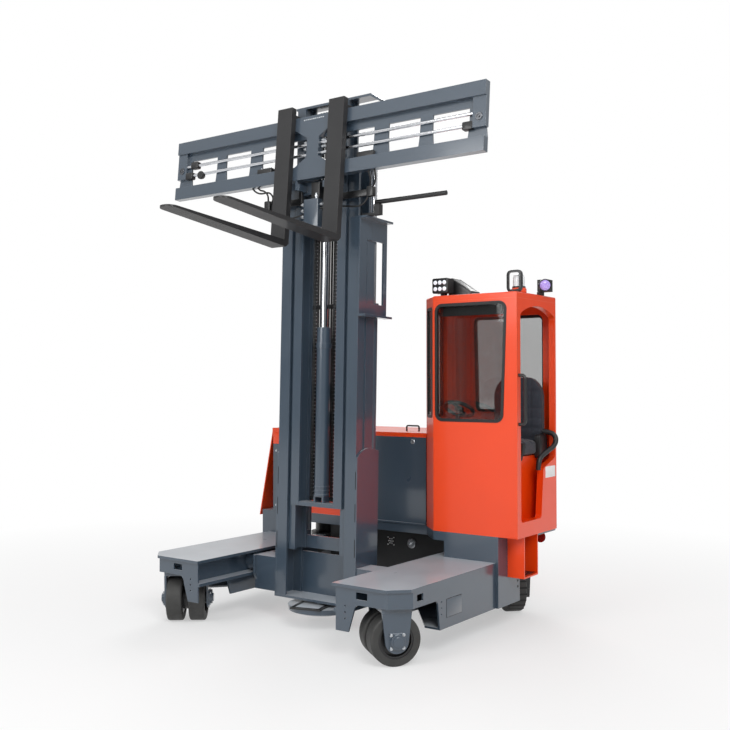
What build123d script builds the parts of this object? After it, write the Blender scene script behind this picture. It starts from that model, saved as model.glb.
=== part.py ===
from build123d import *
from math import atan2, cos, degrees, hypot, radians, sin
import os

os.makedirs("parts", exist_ok=True)

# A sit-on multidirectional reach truck, in millimetres, standing on its wheels.
# +Z is up, the forks point to -Y, and the cab stands at +X.
# The mast is raised a little, its carriage is at the top of its free lift,
# and all four wheels stand steered for turning on the spot.

# Legs and their load wheels
leg_reach = 1090            # from the cab's face forward to the legs' front ends
leg_inner_x = 555
leg_outer_x = 1040
leg_top = 450
leg_plate = 12
leg_deck = 18
leg_overhang = 18           # of the deck, over the apron and the bracket in front
leg_corner = 105            # flat across the front outer corner
leg_apron_bottom = 338
leg_skirt_bottom = 160
leg_arch_length = 390       # the open stretch over the load wheel
leg_arch_round = 30
leg_floor_width = 107       # the floor plate's width at its front
leg_floor_cut = 370         # how far its front edge runs back towards the channel
leg_bracket_inset = 15      # the front bracket, from the leg's inner edge
leg_bracket_foot = 91
leg_bracket_bottom = 175
channel_depth = 85          # the reach rollers' channel, in from the leg's inner edge
channel_height = 132
channel_flange = 20
channel_tail = 260          # how far the channel runs on behind the cab's face
strap_slot = 80
strap_slot_height = 42
strap_slot_z = 390
hole_radius = 5.5
hole_pitch = 37
hole_column = 249           # the lowest hole's height
load_swivel_x = 835
load_swivel_back = 185      # from the leg's front end back to the swivel axis
load_radius = 150
load_tyre_width = 105
load_tyre_gap = 44
load_rim_radius = 105
load_recess_radius = 92
load_recess = 30
load_axle_radius = 22
yoke_plate = 14
yoke_gap = 6
yoke_top = 89               # half widths of a yoke plate at its top and at the axle
yoke_foot = 70
hub_flange = 92
hub_flange_plate = 8
hub_caps = [(42, 12), (28, 8)]      # radius and height of each step of the cap
swivel_radius = 110
swivel_plate = 20
spin_set_forward = 252      # the place that all four axles point at, in front of the cab's face

# Chassis, covers and drive wheels
chassis_right_x = 1060
chassis_left_x = 1105
body_depth = 860            # from the cab's face back to the rear skin
body_face = 145             # the body's front panel lies this far behind the cab's face
deck_top = 617
deck_plate = 60
chassis_bottom = 160
side_skirt_length = 300
rear_skirt_right_x = 880
rear_skirt_bottom = 250
tray_clearance = 10         # between the battery's tray and the legs' channels
tray_back = 300             # from the cab's face back to the tray
skin = 8
body_top = 1260
body_left_x = 1005          # the end cover's upper edge, to the left
body_left_foot_x = 1137     # and its lower edge
body_right_x = 418
centre_left_x = 850         # the centre cover's edges, both left of the middle
centre_right_x = 200
panel_plate = 6
cover_bottom = 573
panel_bottom = 628
hood_plate = 30
hood_gap = 6
hood_lip = 24
drive_x = 830
drive_back = 620            # from the cab's face back to the drive wheels' axles
drive_radius = 170
drive_tyre_width = 120
drive_rim_radius = 100
drive_turntable_radius = 130

# Cab
cab_face_left_x = 570
cab_left_x = 425
cab_corner = 145            # the flat between the cab's face and its left wall
cab_right_x = 1200
cab_depth = 720
cab_side_depth = 580        # the entry wall's length before the rear corner's flat
cab_rear_right_x = 1130
cab_top = 2200
cab_wall = 45
cab_floor_top = 700
roof_plate = 40
window_left_x = 585
window_right_x = 1130
window_right_low_x = 1100
window_bottom = 1353
window_top = 2144
window_corner = 55
side_window_bottom = 1373
rear_window_bottom = 1400
window_margin = 65          # from a window's top to the roof
seal_width = 20
glass_thickness = 6
door_front = 50             # measured back from the cab's face, as the next three are
door_rear = 563
door_low_rear = 345
door_sill_rear = 380
door_bottom = 714
door_sill = 1070
door_spring = 2060
door_crown = 2118

# Mast, drawn upright and leant back as it is saved
mast_lean = 1.5
mast_set_forward = 577      # from the cab's face forward to the mast's front plane, at its foot
outer_bottom = 183
outer_top = 2700
middle_top = 3090
inner_top = 3500
outer_x = 329
outer_flange = 85
outer_web = 16
outer_depth = 176
groove_front = 66           # the groove down the outer rail's side
groove_width = 24
groove_depth = 8
middle_x = 303
middle_flange = 113
middle_web = 14
middle_web_x = 236
middle_front = 24
middle_depth = 130
inner_x = 215
inner_flange = 68
inner_web = 12
inner_web_x = 185
inner_front = 2
inner_depth = 128
flange = 16
stage_lift = 300            # how far each stage stands above the one outside it
foot_clearance = 7          # under each stage when it is down
pad_height = 180
outer_tie_plate = 14
outer_tie_inset = 20
outer_tie_rows = [(1320, 100), (1500, 110), (1840, 70), (2610, 80)]     # bottom and height of each tie
middle_tie_height = 86
middle_tie_plate = 12
middle_head_height = 60
inner_tie_height = 26
cheek_plate = 12
cheek_top = 1190
cheek_depth = 236
foot_plate = 12
foot_sole = 16
foot_plate_top = 460
dish_radius = 225           # the round pan under the mast's foot
dish_bottom = 100
dish_height = 46
bracket_height = 655
bracket_depth = 310
bracket_plate = 12
bracket_lip = 60
bracket_window = 420
lift_barrel_radius = 38
lift_barrel_bottom = 560
lift_barrel_top = 2150
lift_behind = 60            # the lift cylinders' axes, behind the outer rails
lift_x = 270
lift_rod_radius = 25
lift_rod_foot = 620         # the rods' lower ends when the mast is down
free_barrel_radius = 48
free_barrel_top = 1985
free_stand = 45
free_stroke = 925
free_rod_radius = 26
free_rod_drop = 570         # from the inner rails' tops down to the rod's head
free_back = 64              # the free lift cylinder's axis, behind the mast's front plane
sheave_radius = 52
cylinder_gap = 0.3

# Carriage, fork frame and forks
carriage_tilt = 3.5         # from the mast's own line
frame_half = 1303
frame_drop = 318            # from the inner rails' tops down to the frame's middle
frame_height = 432
frame_beam = 90
frame_thickness = 50
frame_set_forward = 73      # from the mast's front plane to the frame's middle
frame_strip = 55            # the strip that hangs inside the upper beam
frame_web = 14
frame_web_widths = [133, 110, 130]  # from the end inwards
frame_web_pitch = 350
frame_web_bow = 9
frame_end_width = 90
frame_end_foot = 64         # how far the end plate reaches below the frame's middle
rod_heights = [28, -42]     # the two positioner rods, from the frame's middle
rod_radius = 11
carriage_side_x = 136
hinge_drop = 262            # the tilt hinge's axis, below the frame's middle
hinge_radius = 12
fork_x = 220
fork_width = 125
fork_thickness = 45
fork_length = 1010
fork_shank_top = 283        # above the frame's middle
fork_heel = 670             # below the frame's middle
fork_tip = 12
fork_tip_round = 55
fork_heel_flat = 24
running_gap = 0.3

# The origin is on the floor, midway from the fork tips to the rear skin
tilt = radians(carriage_tilt)
lean = radians(mast_lean)
frame_middle_z = inner_top - frame_drop
tip_out = frame_thickness / 2 + fork_thickness + fork_length
tip_down = fork_heel - fork_thickness + fork_tip
tip_forward = frame_set_forward + cos(tilt) * tip_out + sin(tilt) * tip_down
tip_rise = frame_middle_z - outer_bottom - cos(tilt) * tip_down + sin(tilt) * tip_out
tip_reach = mast_set_forward + cos(lean) * tip_forward - sin(lean) * tip_rise
front_y = (tip_reach - body_depth) / 2
mast_y = front_y - mast_set_forward
frame_y = mast_y - frame_set_forward
rear_y = front_y + body_depth
leg_front_y = front_y - leg_reach
middle_bottom = outer_bottom + stage_lift + foot_clearance
inner_bottom = middle_bottom + stage_lift
arch_y = leg_front_y + leg_arch_length
mast_foot_axis = Axis((0, mast_y, outer_bottom), (1, 0, 0))


def block(x, y, z, mode=Mode.ADD):
    """A straight-sided piece between two corners; x, y and z are (low, high)."""
    with Locations(((x[0] + x[1]) / 2, (y[0] + y[1]) / 2, (z[0] + z[1]) / 2)):
        Box(x[1] - x[0], y[1] - y[0], z[1] - z[0], mode=mode)


def plate(plane, points, thickness, mode=Mode.ADD, both=False, round=0):
    """A flat piece of the outline through points, its corners rounded by round."""
    with BuildSketch(plane) as outline:
        with BuildLine():
            Polyline(*points, close=True)
        make_face()
        if round:
            fillet(outline.vertices(), round)
    extrude(outline.sketch, amount=thickness, both=both, mode=mode)


def rod(start, end, radius, mode=Mode.ADD):
    """A round bar from start to end."""
    axis = Vector(*end) - Vector(*start)
    with BuildSketch(Plane(origin=start, z_dir=axis)) as section:
        Circle(radius)
    extrude(section.sketch, amount=axis.length, mode=mode)


def bent_bar(points, radius, bend):
    """A round bar along points, bent at each corner."""
    with BuildLine() as path:
        FilletPolyline(*points, radius=bend)
    with BuildSketch(path.line ^ 0) as section:
        Circle(radius)
    sweep(section.sketch, path=path.line)


def save(node, label, turn=0):
    """Write the node's STEP file, turned about the mast's foot by turn degrees."""
    part = node.part.rotate(mast_foot_axis, turn)
    part.label = label
    export_step(part, f"parts/{label}.step")


def leant(y, z):
    """Where a point of the upright mast stands once the mast leans."""
    y, z = y - mast_y, z - outer_bottom
    return mast_y + y * cos(lean) + z * sin(lean), outer_bottom + z * cos(lean) - y * sin(lean)


# Legs: a deck over an open wheel arch and an open-fronted box, with a roller channel inside
channel_top = leg_top - leg_deck
channel_bottom = channel_top - channel_height
web_x = leg_inner_x + channel_depth
web_foot = channel_bottom - channel_flange
tail_y = front_y + channel_tail
apron_y = leg_front_y + leg_overhang
box_y = arch_y + 20
skirt_y = arch_y - 32
bracket_x = leg_inner_x + leg_bracket_inset
bracket_foot_x = bracket_x + leg_bracket_foot
wall_x = leg_outer_x - leg_plate
fold = leg_plate * 0.414
sides = [("right", 1, front_y), ("left", -1, front_y + body_face)]      # name, sign of x, where the leg ends behind
for name, side, back_y in sides:
    deck = [(leg_inner_x, leg_front_y), (leg_outer_x - leg_corner, leg_front_y),
            (leg_outer_x, leg_front_y + leg_corner), (leg_outer_x, back_y), (leg_inner_x, back_y)]
    apron = [(web_x, apron_y), (leg_outer_x - leg_corner, apron_y), (leg_outer_x, apron_y + leg_corner),
             (leg_outer_x, apron_y + leg_corner + fold), (wall_x, apron_y + leg_corner + fold),
             (leg_outer_x - leg_corner - fold, apron_y + leg_plate), (web_x, apron_y + leg_plate)]
    web = [(apron_y, channel_top), (apron_y, web_foot), (skirt_y, web_foot), (skirt_y + 40, leg_skirt_bottom),
           (back_y, leg_skirt_bottom), (back_y, web_foot), (tail_y, web_foot), (tail_y, channel_top)]
    floor = [(leg_outer_x, box_y), (leg_outer_x - leg_floor_width, box_y), (web_x, box_y + leg_floor_cut),
             (web_x, back_y), (leg_outer_x, back_y)]
    with BuildPart() as leg:
        plate(Plane.XY.offset(channel_top), deck, leg_deck)
        plate(Plane.XY.offset(leg_apron_bottom), apron, channel_top - leg_apron_bottom)
        # outer wall, its arch rounded into the front edge
        with BuildSketch(Plane.YZ.offset(wall_x)) as wall_outline:
            with BuildLine():
                Polyline((arch_y, leg_apron_bottom - leg_arch_round), (box_y, leg_skirt_bottom), (back_y, leg_skirt_bottom),
                         (back_y, channel_top), (apron_y + leg_corner + fold, channel_top),
                         (apron_y + leg_corner + fold, leg_apron_bottom), (arch_y - leg_arch_round, leg_apron_bottom))
                RadiusArc((arch_y - leg_arch_round, leg_apron_bottom), (arch_y, leg_apron_bottom - leg_arch_round),
                          leg_arch_round)
            make_face()
        extrude(amount=leg_plate)
        plate(Plane.YZ.offset(web_x), web, leg_plate)
        plate(Plane.XY.offset(leg_skirt_bottom), floor, leg_plate)
        block((web_x, leg_outer_x), (back_y - leg_plate, back_y), (leg_skirt_bottom, channel_top))
        # channel's lower flange, and the deck's tail over the channel
        block((leg_inner_x, web_x), (apron_y, tail_y), (web_foot, channel_bottom))
        block((leg_inner_x, web_x + leg_plate), (back_y, tail_y), (channel_top, leg_top))
        # bracket in front of the wheel, curved into the apron's lower edge
        with BuildSketch(Plane.XZ.offset(-apron_y)) as bracket_outline:
            with BuildLine():
                Polyline((bracket_x, channel_top), (bracket_x, leg_bracket_bottom), (bracket_foot_x, leg_bracket_bottom),
                         (bracket_foot_x + 39, leg_apron_bottom - 42))
                ThreePointArc((bracket_foot_x + 39, leg_apron_bottom - 42), (bracket_foot_x + 53, leg_apron_bottom - 12),
                              (bracket_foot_x + 84, leg_apron_bottom))
                Polyline((bracket_foot_x + 84, leg_apron_bottom), (bracket_foot_x + 84, channel_top),
                         (bracket_x, channel_top))
            make_face()
        extrude(amount=-leg_plate)
        # slots for lifting straps, and columns of bolt holes beside the arch
        with BuildSketch(Plane.XZ.offset(-apron_y)):
            with Locations((web_x + 117, strap_slot_z)):
                RectangleRounded(strap_slot, strap_slot_height, 6)
            with Locations((bracket_foot_x - 23, hole_column + hole_pitch)):
                with GridLocations(0, hole_pitch, 1, 3):
                    Circle(hole_radius)
        extrude(amount=-leg_plate, mode=Mode.SUBTRACT)
        with BuildSketch(Plane.YZ.offset(leg_outer_x)):
            with Locations((leg_front_y + 196, strap_slot_z)):
                RectangleRounded(66, strap_slot_height, 6)
            with Locations((box_y + 18, hole_column + hole_pitch)):
                with GridLocations(0, hole_pitch, 1, 3):
                    Circle(hole_radius)
        extrude(amount=-leg_plate, mode=Mode.SUBTRACT)
        if side < 0:
            mirror(about=Plane.YZ, mode=Mode.REPLACE)
    save(leg, f"leg_{name}")

# Load wheels: a swivel head with two tapering plates, twin tyres and a hub on one axle
spin_centre_y = front_y - spin_set_forward
twin_half = load_tyre_width + load_tyre_gap / 2
yoke_inner = twin_half + yoke_gap
yoke_outer = yoke_inner + yoke_plate
head_bottom = 2 * load_radius + 12
for name, side, back_y in sides:
    swivel_y = leg_front_y + load_swivel_back
    turn = degrees(atan2(swivel_y - spin_centre_y, side * load_swivel_x))
    swivel = Plane(origin=(side * load_swivel_x, swivel_y, 0), x_dir=(cos(radians(turn)), sin(radians(turn)), 0))
    axle = Plane(origin=(side * load_swivel_x, swivel_y, load_radius), x_dir=(0, 0, 1), z_dir=swivel.x_dir)
    section = Plane(origin=axle.origin, x_dir=axle.z_dir, z_dir=axle.y_dir)     # x along the axle, y outwards from it
    axle_line = Axis(axle.origin, axle.z_dir)
    with BuildPart() as yoke:
        with BuildSketch(swivel.offset(head_bottom)):
            RectangleRounded(2 * yoke_outer + 4, 2 * yoke_top, 15)
        extrude(amount=swivel_plate)
        with BuildSketch(swivel.offset(head_bottom + swivel_plate)):
            Circle(swivel_radius)
        extrude(amount=channel_top - head_bottom - swivel_plate - running_gap)
        with BuildSketch(axle) as yoke_outline:
            with BuildLine():
                Polyline((0, yoke_foot), (head_bottom - load_radius, yoke_top), (head_bottom - load_radius, -yoke_top),
                         (0, -yoke_foot))
                ThreePointArc((0, -yoke_foot), (-yoke_foot, 0), (0, yoke_foot))
            make_face()
        extrude(amount=yoke_outer, both=True)
        with BuildSketch(axle):
            Rectangle(4 * load_radius, 4 * load_radius)
        extrude(amount=yoke_inner, both=True, mode=Mode.SUBTRACT)
        with BuildSketch(swivel.offset(head_bottom)):
            RectangleRounded(2 * yoke_outer + 4, 2 * yoke_top, 15)
        extrude(amount=swivel_plate)
        with BuildSketch(swivel.offset(head_bottom + swivel_plate)):
            Circle(swivel_radius)
        extrude(amount=channel_top - head_bottom - swivel_plate - running_gap)
        for out in (1, -1):
            face = yoke_outer
            with BuildSketch(axle.offset(out * face)):
                RectangleRounded(hub_flange, hub_flange, 10)
            extrude(amount=out * hub_flange_plate)
            face += hub_flange_plate
            for radius, height in hub_caps:
                with BuildSketch(axle.offset(out * face)):
                    Circle(radius)
                extrude(amount=out * height)
                face += height
        with BuildSketch(axle):
            Circle(load_axle_radius)
        extrude(amount=yoke_outer, both=True)
    save(yoke, f"load_yoke_{name}")
    half_profile = [(load_tyre_gap / 2 + 4, load_rim_radius), (twin_half - 4, load_rim_radius),
                    (twin_half - 4, load_recess_radius), (twin_half - load_recess, load_recess_radius),
                    (twin_half - load_recess, 46), (twin_half + 2, 38), (twin_half + 2, load_axle_radius + 0.1)]
    middle = [(load_tyre_gap / 2 + 4, load_rim_radius - 30)]
    profile = [(-a, r) for a, r in reversed(middle + half_profile)] + middle + half_profile
    with BuildPart() as hub:
        with BuildSketch(section):
            with BuildLine():
                Polyline(*profile, close=True)
            make_face()
        revolve(axis=axle_line)
    save(hub, f"load_hub_{name}")
    with BuildPart() as tyres:
        for inner in (-twin_half, load_tyre_gap / 2):
            with BuildSketch(axle.offset(inner)):
                Circle(load_radius)
                Circle(load_rim_radius, mode=Mode.SUBTRACT)
            extrude(amount=load_tyre_width)
        outer_edges = tyres.edges().filter_by(GeomType.CIRCLE).group_by(SortBy.RADIUS)[-1]
        fillet(outer_edges, 12)
    save(tyres, f"load_tyres_{name}")

# Drive wheels: a turntable under the chassis deck, a gear leg and a broad treaded tyre
deck_bottom = deck_top - deck_plate
for name, side, back_y in sides:
    drive_y = front_y + drive_back
    turn = degrees(atan2(drive_y - spin_centre_y, side * drive_x))
    swivel = Plane(origin=(side * drive_x, drive_y, 0), x_dir=(cos(radians(turn)), sin(radians(turn)), 0))
    axle = Plane(origin=(side * drive_x, drive_y, drive_radius), x_dir=(0, 0, 1), z_dir=swivel.x_dir)
    half = drive_tyre_width / 2
    with BuildPart() as drive:
        with BuildSketch(swivel.offset(2 * drive_radius + 16)):
            Circle(drive_turntable_radius)
        extrude(amount=60)
        with BuildSketch(swivel.offset(2 * drive_radius + 76)):
            Circle(drive_turntable_radius - 35)
        extrude(amount=deck_bottom - 2 * drive_radius - 76 - running_gap)
        arm = [(-70, -62), (-70, 62), (drive_radius + 20, 95), (drive_radius + 20, -95)]
        plate(axle.offset(half + 8), arm, 46, round=18)
        with BuildSketch(axle.offset(-half + 10)):
            Circle(34)
        extrude(amount=drive_tyre_width - 2)
    save(drive, f"drive_unit_{name}")
    with BuildPart() as rim:
        with BuildSketch(axle.offset(-half + 12)):
            Circle(drive_rim_radius)
        extrude(amount=drive_tyre_width - 24)
        with BuildSketch(axle.offset(-half + 12)):
            Circle(34.1)
        extrude(amount=drive_tyre_width - 24, mode=Mode.SUBTRACT)
    save(rim, f"drive_rim_{name}")
    with BuildPart() as tyre:
        with BuildSketch(axle.offset(-half)):
            Circle(drive_radius)
            Circle(drive_rim_radius, mode=Mode.SUBTRACT)
        extrude(amount=drive_tyre_width)
        rims = tyre.edges().filter_by(GeomType.CIRCLE).group_by(SortBy.RADIUS)[-1]
        fillet(rims, 14)
    save(tyre, f"drive_tyre_{name}")

# Chassis: a deck over the drive wheels, panels under the cab and a rear skirt
face = front_y + body_face
deck = [(-chassis_left_x, face), (cab_left_x, face), (cab_face_left_x, front_y), (chassis_right_x, front_y),
        (chassis_right_x, rear_y), (-chassis_left_x, rear_y)]
tray_x = leg_inner_x - tray_clearance
tray_y = front_y + tray_back
skirts = [(1, chassis_right_x, front_y), (-1, chassis_left_x, face)]        # sign of x, outer side, front plane
with BuildPart() as frame:
    plate(Plane.XY.offset(deck_bottom), deck, deck_plate)
    block((-tray_x + skin, tray_x - skin), (tray_y + skin, rear_y - skin), (deck_bottom, deck_top),
          mode=Mode.SUBTRACT)
    for side, edge_x, skirt_front in skirts:
        low, high = sorted((side * edge_x, side * (edge_x - skin)))
        block((low, high), (skirt_front, front_y + side_skirt_length), (chassis_bottom, deck_bottom))
        low, high = sorted((side * (web_x + leg_plate + 1), side * edge_x))
        block((low, high), (skirt_front, skirt_front + skin), (leg_top, deck_bottom))
        low, high = sorted((side * leg_outer_x, side * edge_x))
        block((low, high), (skirt_front, skirt_front + skin), (chassis_bottom, leg_top))
    block((-chassis_left_x, rear_skirt_right_x), (rear_y - skin, rear_y), (rear_skirt_bottom, deck_bottom))
    # ledge that the front panels stand on
    block((-body_left_x, body_right_x), (face - skin, face + 20), (deck_top, panel_bottom))
save(frame, "chassis_frame")

# Battery's tray: an open box hung under the deck
with BuildPart() as tray:
    block((-tray_x, tray_x), (tray_y, rear_y - skin), (chassis_bottom - 10, deck_bottom))
    block((-tray_x + skin, tray_x - skin), (tray_y + skin, rear_y - skin), (chassis_bottom, deck_bottom),
          mode=Mode.SUBTRACT)
save(tray, "battery_tray")

with BuildPart() as battery:
    block((-480, 380), (tray_y + 30, tray_y + 480), (chassis_bottom, body_top - 140))
save(battery, "battery")

# Body covers: grey panels in front, an orange centre, a slanted end and a rear panel
panel_top = body_top - hood_plate - running_gap
panels = [("service_panel_right", -centre_right_x, body_right_x),
          ("service_panel_centre", -centre_left_x, -centre_right_x - 2),
          ("service_panel_left", -body_left_x + skin + 2, -centre_left_x - 2)]    # name, left x, right x
for name, low, high in panels:
    with BuildPart() as panel:
        block((low, high), (face, face + panel_plate), (panel_bottom, panel_top))
    save(panel, name)

end_section = [(-body_left_x, panel_top), (-body_left_foot_x, cover_bottom),
               (-body_left_foot_x + skin, cover_bottom), (-body_left_x + skin, panel_top)]
with BuildPart() as end_cover:
    plate(Plane.XZ.offset(-rear_y), end_section, body_depth - body_face)
    block((-body_left_x + skin, body_right_x), (rear_y - panel_plate, rear_y), (deck_top, panel_top))
save(end_cover, "end_cover")

with BuildPart() as hood:
    block((-body_left_x, body_right_x), (face, rear_y), (body_top - hood_plate, body_top))
    block((-body_left_x + 20, body_right_x - 20), (face + 20, rear_y - 20), (body_top - hood_plate, body_top - 8),
          mode=Mode.SUBTRACT)
save(hood, "hood")
with BuildPart() as hood_handle:
    handle_y = face + 210
    bent_bar([(120, handle_y, body_top), (120, handle_y, body_top + 39), (227, handle_y, body_top + 39),
              (227, handle_y, body_top)], 6, 12)
save(hood_handle, "hood_handle")

# Cab: mitred wall panels round a five-sided plan, with their windows and the entry cut
plan = [(cab_face_left_x, front_y), (cab_right_x, front_y),
        (cab_right_x, front_y + cab_side_depth), (cab_rear_right_x, front_y + cab_depth),
        (cab_left_x, front_y + cab_depth), (cab_left_x, front_y + cab_corner)]


def inset(points, distance):
    """The outline moved inwards by distance, mitred at its corners."""
    result = []
    for i, corner in enumerate(points):
        before = points[i - 1]
        after = points[(i + 1) % len(points)]
        a = ((corner[0] - before[0]), (corner[1] - before[1]))
        b = ((after[0] - corner[0]), (after[1] - corner[1]))
        a = (a[0] / hypot(*a), a[1] / hypot(*a))
        b = (b[0] / hypot(*b), b[1] / hypot(*b))
        turn = a[0] * b[1] - a[1] * b[0]
        along = distance * (1 - (a[0] * b[0] + a[1] * b[1])) / turn
        result.append((corner[0] - a[1] * distance - a[0] * along,
                       corner[1] + a[0] * distance - a[1] * along))
    return result


plan_inside = inset(plan, cab_wall)


def wall_plane(i):
    """The outside face of wall i: x along the wall from its first corner, y up from the floor."""
    (x0, y0), (x1, y1) = plan[i], plan[(i + 1) % len(plan)]
    length = hypot(x1 - x0, y1 - y0)
    return Plane(origin=(x0, y0, 0), x_dir=((x1 - x0) / length, (y1 - y0) / length, 0),
                 z_dir=((y1 - y0) / length, -(x1 - x0) / length, 0))


def wall_length(i):
    (x0, y0), (x1, y1) = plan[i], plan[(i + 1) % len(plan)]
    return hypot(x1 - x0, y1 - y0)


def wall(i, low, high):
    """Wall i as a mitred panel between two heights."""
    j = (i + 1) % len(plan)
    plate(Plane.XY.offset(low), [plan[i], plan[j], plan_inside[j], plan_inside[i]], high - low)


wall_top = cab_top - roof_plate
window_head = wall_top - window_margin
front_window = [(window_left_x - cab_face_left_x, window_bottom), (window_right_low_x - cab_face_left_x, window_bottom),
                (window_right_x - cab_face_left_x, window_top), (window_left_x - cab_face_left_x, window_top)]
rear_window = [(72, rear_window_bottom), (wall_length(3) - 77, rear_window_bottom), (wall_length(3) - 60, window_head),
               (72, window_head)]
side_window = [(375, side_window_bottom), (wall_length(4) - 35, side_window_bottom),
               (wall_length(4) - 35, window_head + 15), (375, window_head + 15)]
corner_window = [(30, side_window_bottom), (wall_length(5) - 26, side_window_bottom),
                 (wall_length(5) - 26, window_head + 32), (30, window_head + 32)]
# node, its walls, and for each window its wall, corners and corner radius
cab_walls = [
    ("cab_front", [0], [(0, front_window, window_corner)]),
    ("cab_rear", [2, 3], [(3, rear_window, 45)]),
    ("cab_left", [4, 5], [(4, side_window, 30), (5, corner_window, 24)]),
]


def pane(i, window, corner, depth, thickness, shrink=0, mode=Mode.ADD):
    """A plate of a window's outline, from depth behind wall i's outside face."""
    with BuildSketch(wall_plane(i).offset(-depth)) as outline:
        with BuildLine():
            Polyline(*window, close=True)
        make_face()
        fillet(outline.vertices(), corner)
        if shrink:
            offset(amount=-shrink, mode=Mode.REPLACE)
    extrude(outline.sketch, amount=-thickness, mode=mode)


for name, walls, windows in cab_walls:
    with BuildPart() as panel:
        for i in walls:
            wall(i, deck_top, wall_top)
        for i, window, corner in windows:
            pane(i, window, corner, -1, cab_wall + 2, mode=Mode.SUBTRACT)
    save(panel, name)

with BuildPart() as seals:
    for name, walls, windows in cab_walls:
        for i, window, corner in windows:
            pane(i, window, corner, -3, 20)
            pane(i, window, corner, -4, 22, shrink=seal_width, mode=Mode.SUBTRACT)
save(seals, "window_seals")

with BuildPart() as glass:
    for name, walls, windows in cab_walls:
        for i, window, corner in windows:
            pane(i, window, corner, 3, glass_thickness, shrink=seal_width)
save(glass, "window_glass")

with BuildPart() as entry:
    wall(1, deck_top, wall_top)
    with BuildSketch(wall_plane(1).offset(1)) as doorway:
        with BuildLine():
            Polyline((door_front, door_spring), (door_front, door_bottom), (door_low_rear, door_bottom),
                     (door_sill_rear, door_sill - 30), (door_rear, door_sill + 34), (door_rear, door_spring))
            ThreePointArc((door_rear, door_spring), ((door_front + door_rear) / 2 + 36, door_crown),
                          (door_front, door_spring))
        make_face()
        fillet(doorway.vertices(), 28)
    extrude(amount=-cab_wall - 2, mode=Mode.SUBTRACT)
save(entry, "cab_entry")

with BuildPart() as floor:
    plate(Plane.XY.offset(deck_top), plan_inside, cab_floor_top - deck_top)
save(floor, "cab_floor")

with BuildPart() as roof:
    plate(Plane.XY.offset(wall_top), plan, roof_plate)
    fillet(roof.edges().group_by(Axis.Z)[-1], 10)
save(roof, "cab_roof")

# Step under the entry, its cheeks and its tread plate
step_x = (chassis_right_x, chassis_right_x + 120)
step_y = (front_y + 128, front_y + 330)
step_bottom = 342
with BuildPart() as step:
    block(step_x, (step_y[0], step_y[0] + 10), (step_bottom, deck_top))
    block(step_x, (step_y[1] - 10, step_y[1]), (step_bottom, deck_top))
    block(step_x, step_y, (step_bottom, step_bottom + 10))
save(step, "entry_step")

# Seat and controls
seat_x = (735, 1120)
seat_y = (front_y + 150, front_y + 598)
with BuildPart() as seat_base:
    block((seat_x[0] + 30, seat_x[1] - 30), (seat_y[0] + 50, seat_y[1]), (cab_floor_top, 1120))
save(seat_base, "seat_base")
with BuildPart() as cushion:
    block(seat_x, (seat_y[0], seat_y[1] - 88 - running_gap), (1120 + running_gap, 1240))
    fillet(cushion.edges(), 22)
save(cushion, "seat_cushion")
with BuildPart() as backrest:
    block(seat_x, (seat_y[1] - 88, seat_y[1]), (1130, 1660))
    fillet(backrest.edges(), 30)
save(backrest, "seat_back")
with BuildPart() as console:
    plate(Plane.YZ.offset(cab_left_x + cab_wall),
          [(front_y + 180, cab_floor_top), (front_y + 420, cab_floor_top), (front_y + 420, 1250), (front_y + 300, 1330),
           (front_y + 180, 1330)], 150)
    block((640, 1110), (front_y + cab_wall, front_y + cab_wall + 80), (1230, 1335))
save(console, "console")
with BuildPart() as wheel:
    hub_point = (600, front_y + 290, 1420)
    tip = Plane(origin=hub_point, z_dir=(0, 0.5, 0.87))
    with BuildSketch(tip) as ring:
        Circle(110)
        Circle(92, mode=Mode.SUBTRACT)
        Rectangle(200, 24)
        Circle(32)
    extrude(amount=20)
    rod((600, front_y + 265, 1335.8), hub_point, 18)
save(wheel, "steering_wheel")
with BuildPart() as overhead:
    plate(Plane.YZ.offset(600), [(front_y + cab_wall, 2060), (front_y + 250, 2100), (front_y + 250, wall_top),
                                 (front_y + cab_wall, wall_top)], 520)
save(overhead, "overhead_console")

# Lamps on the roof
with BuildPart() as lamps:
    block((500, 620), (front_y + 120, front_y + 190), (cab_top + 30, cab_top + 130))
    block((545, 575), (front_y + 140, front_y + 180), (cab_top, cab_top + 30))
    rod((1150, front_y + 130, cab_top), (1150, front_y + 130, cab_top + 40), 44)
    rod((1150, front_y + 130, cab_top + 40), (1150, front_y + 130, cab_top + 110), 34)
    block((1165, 1240), (front_y + 370, front_y + 450), (cab_top + 25, cab_top + 105))
    block((1150, 1190), (front_y + 395, front_y + 425), (cab_top, cab_top + 25))
save(lamps, "roof_lamps")

with BuildPart() as grab:
    grab_y = front_y + 25
    bent_bar([(cab_right_x, grab_y, 1660), (cab_right_x + 45, grab_y, 1660), (cab_right_x + 45, grab_y, 1346),
              (cab_right_x, grab_y, 1346)], 11, 25)
save(grab, "grab_handle")

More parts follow.
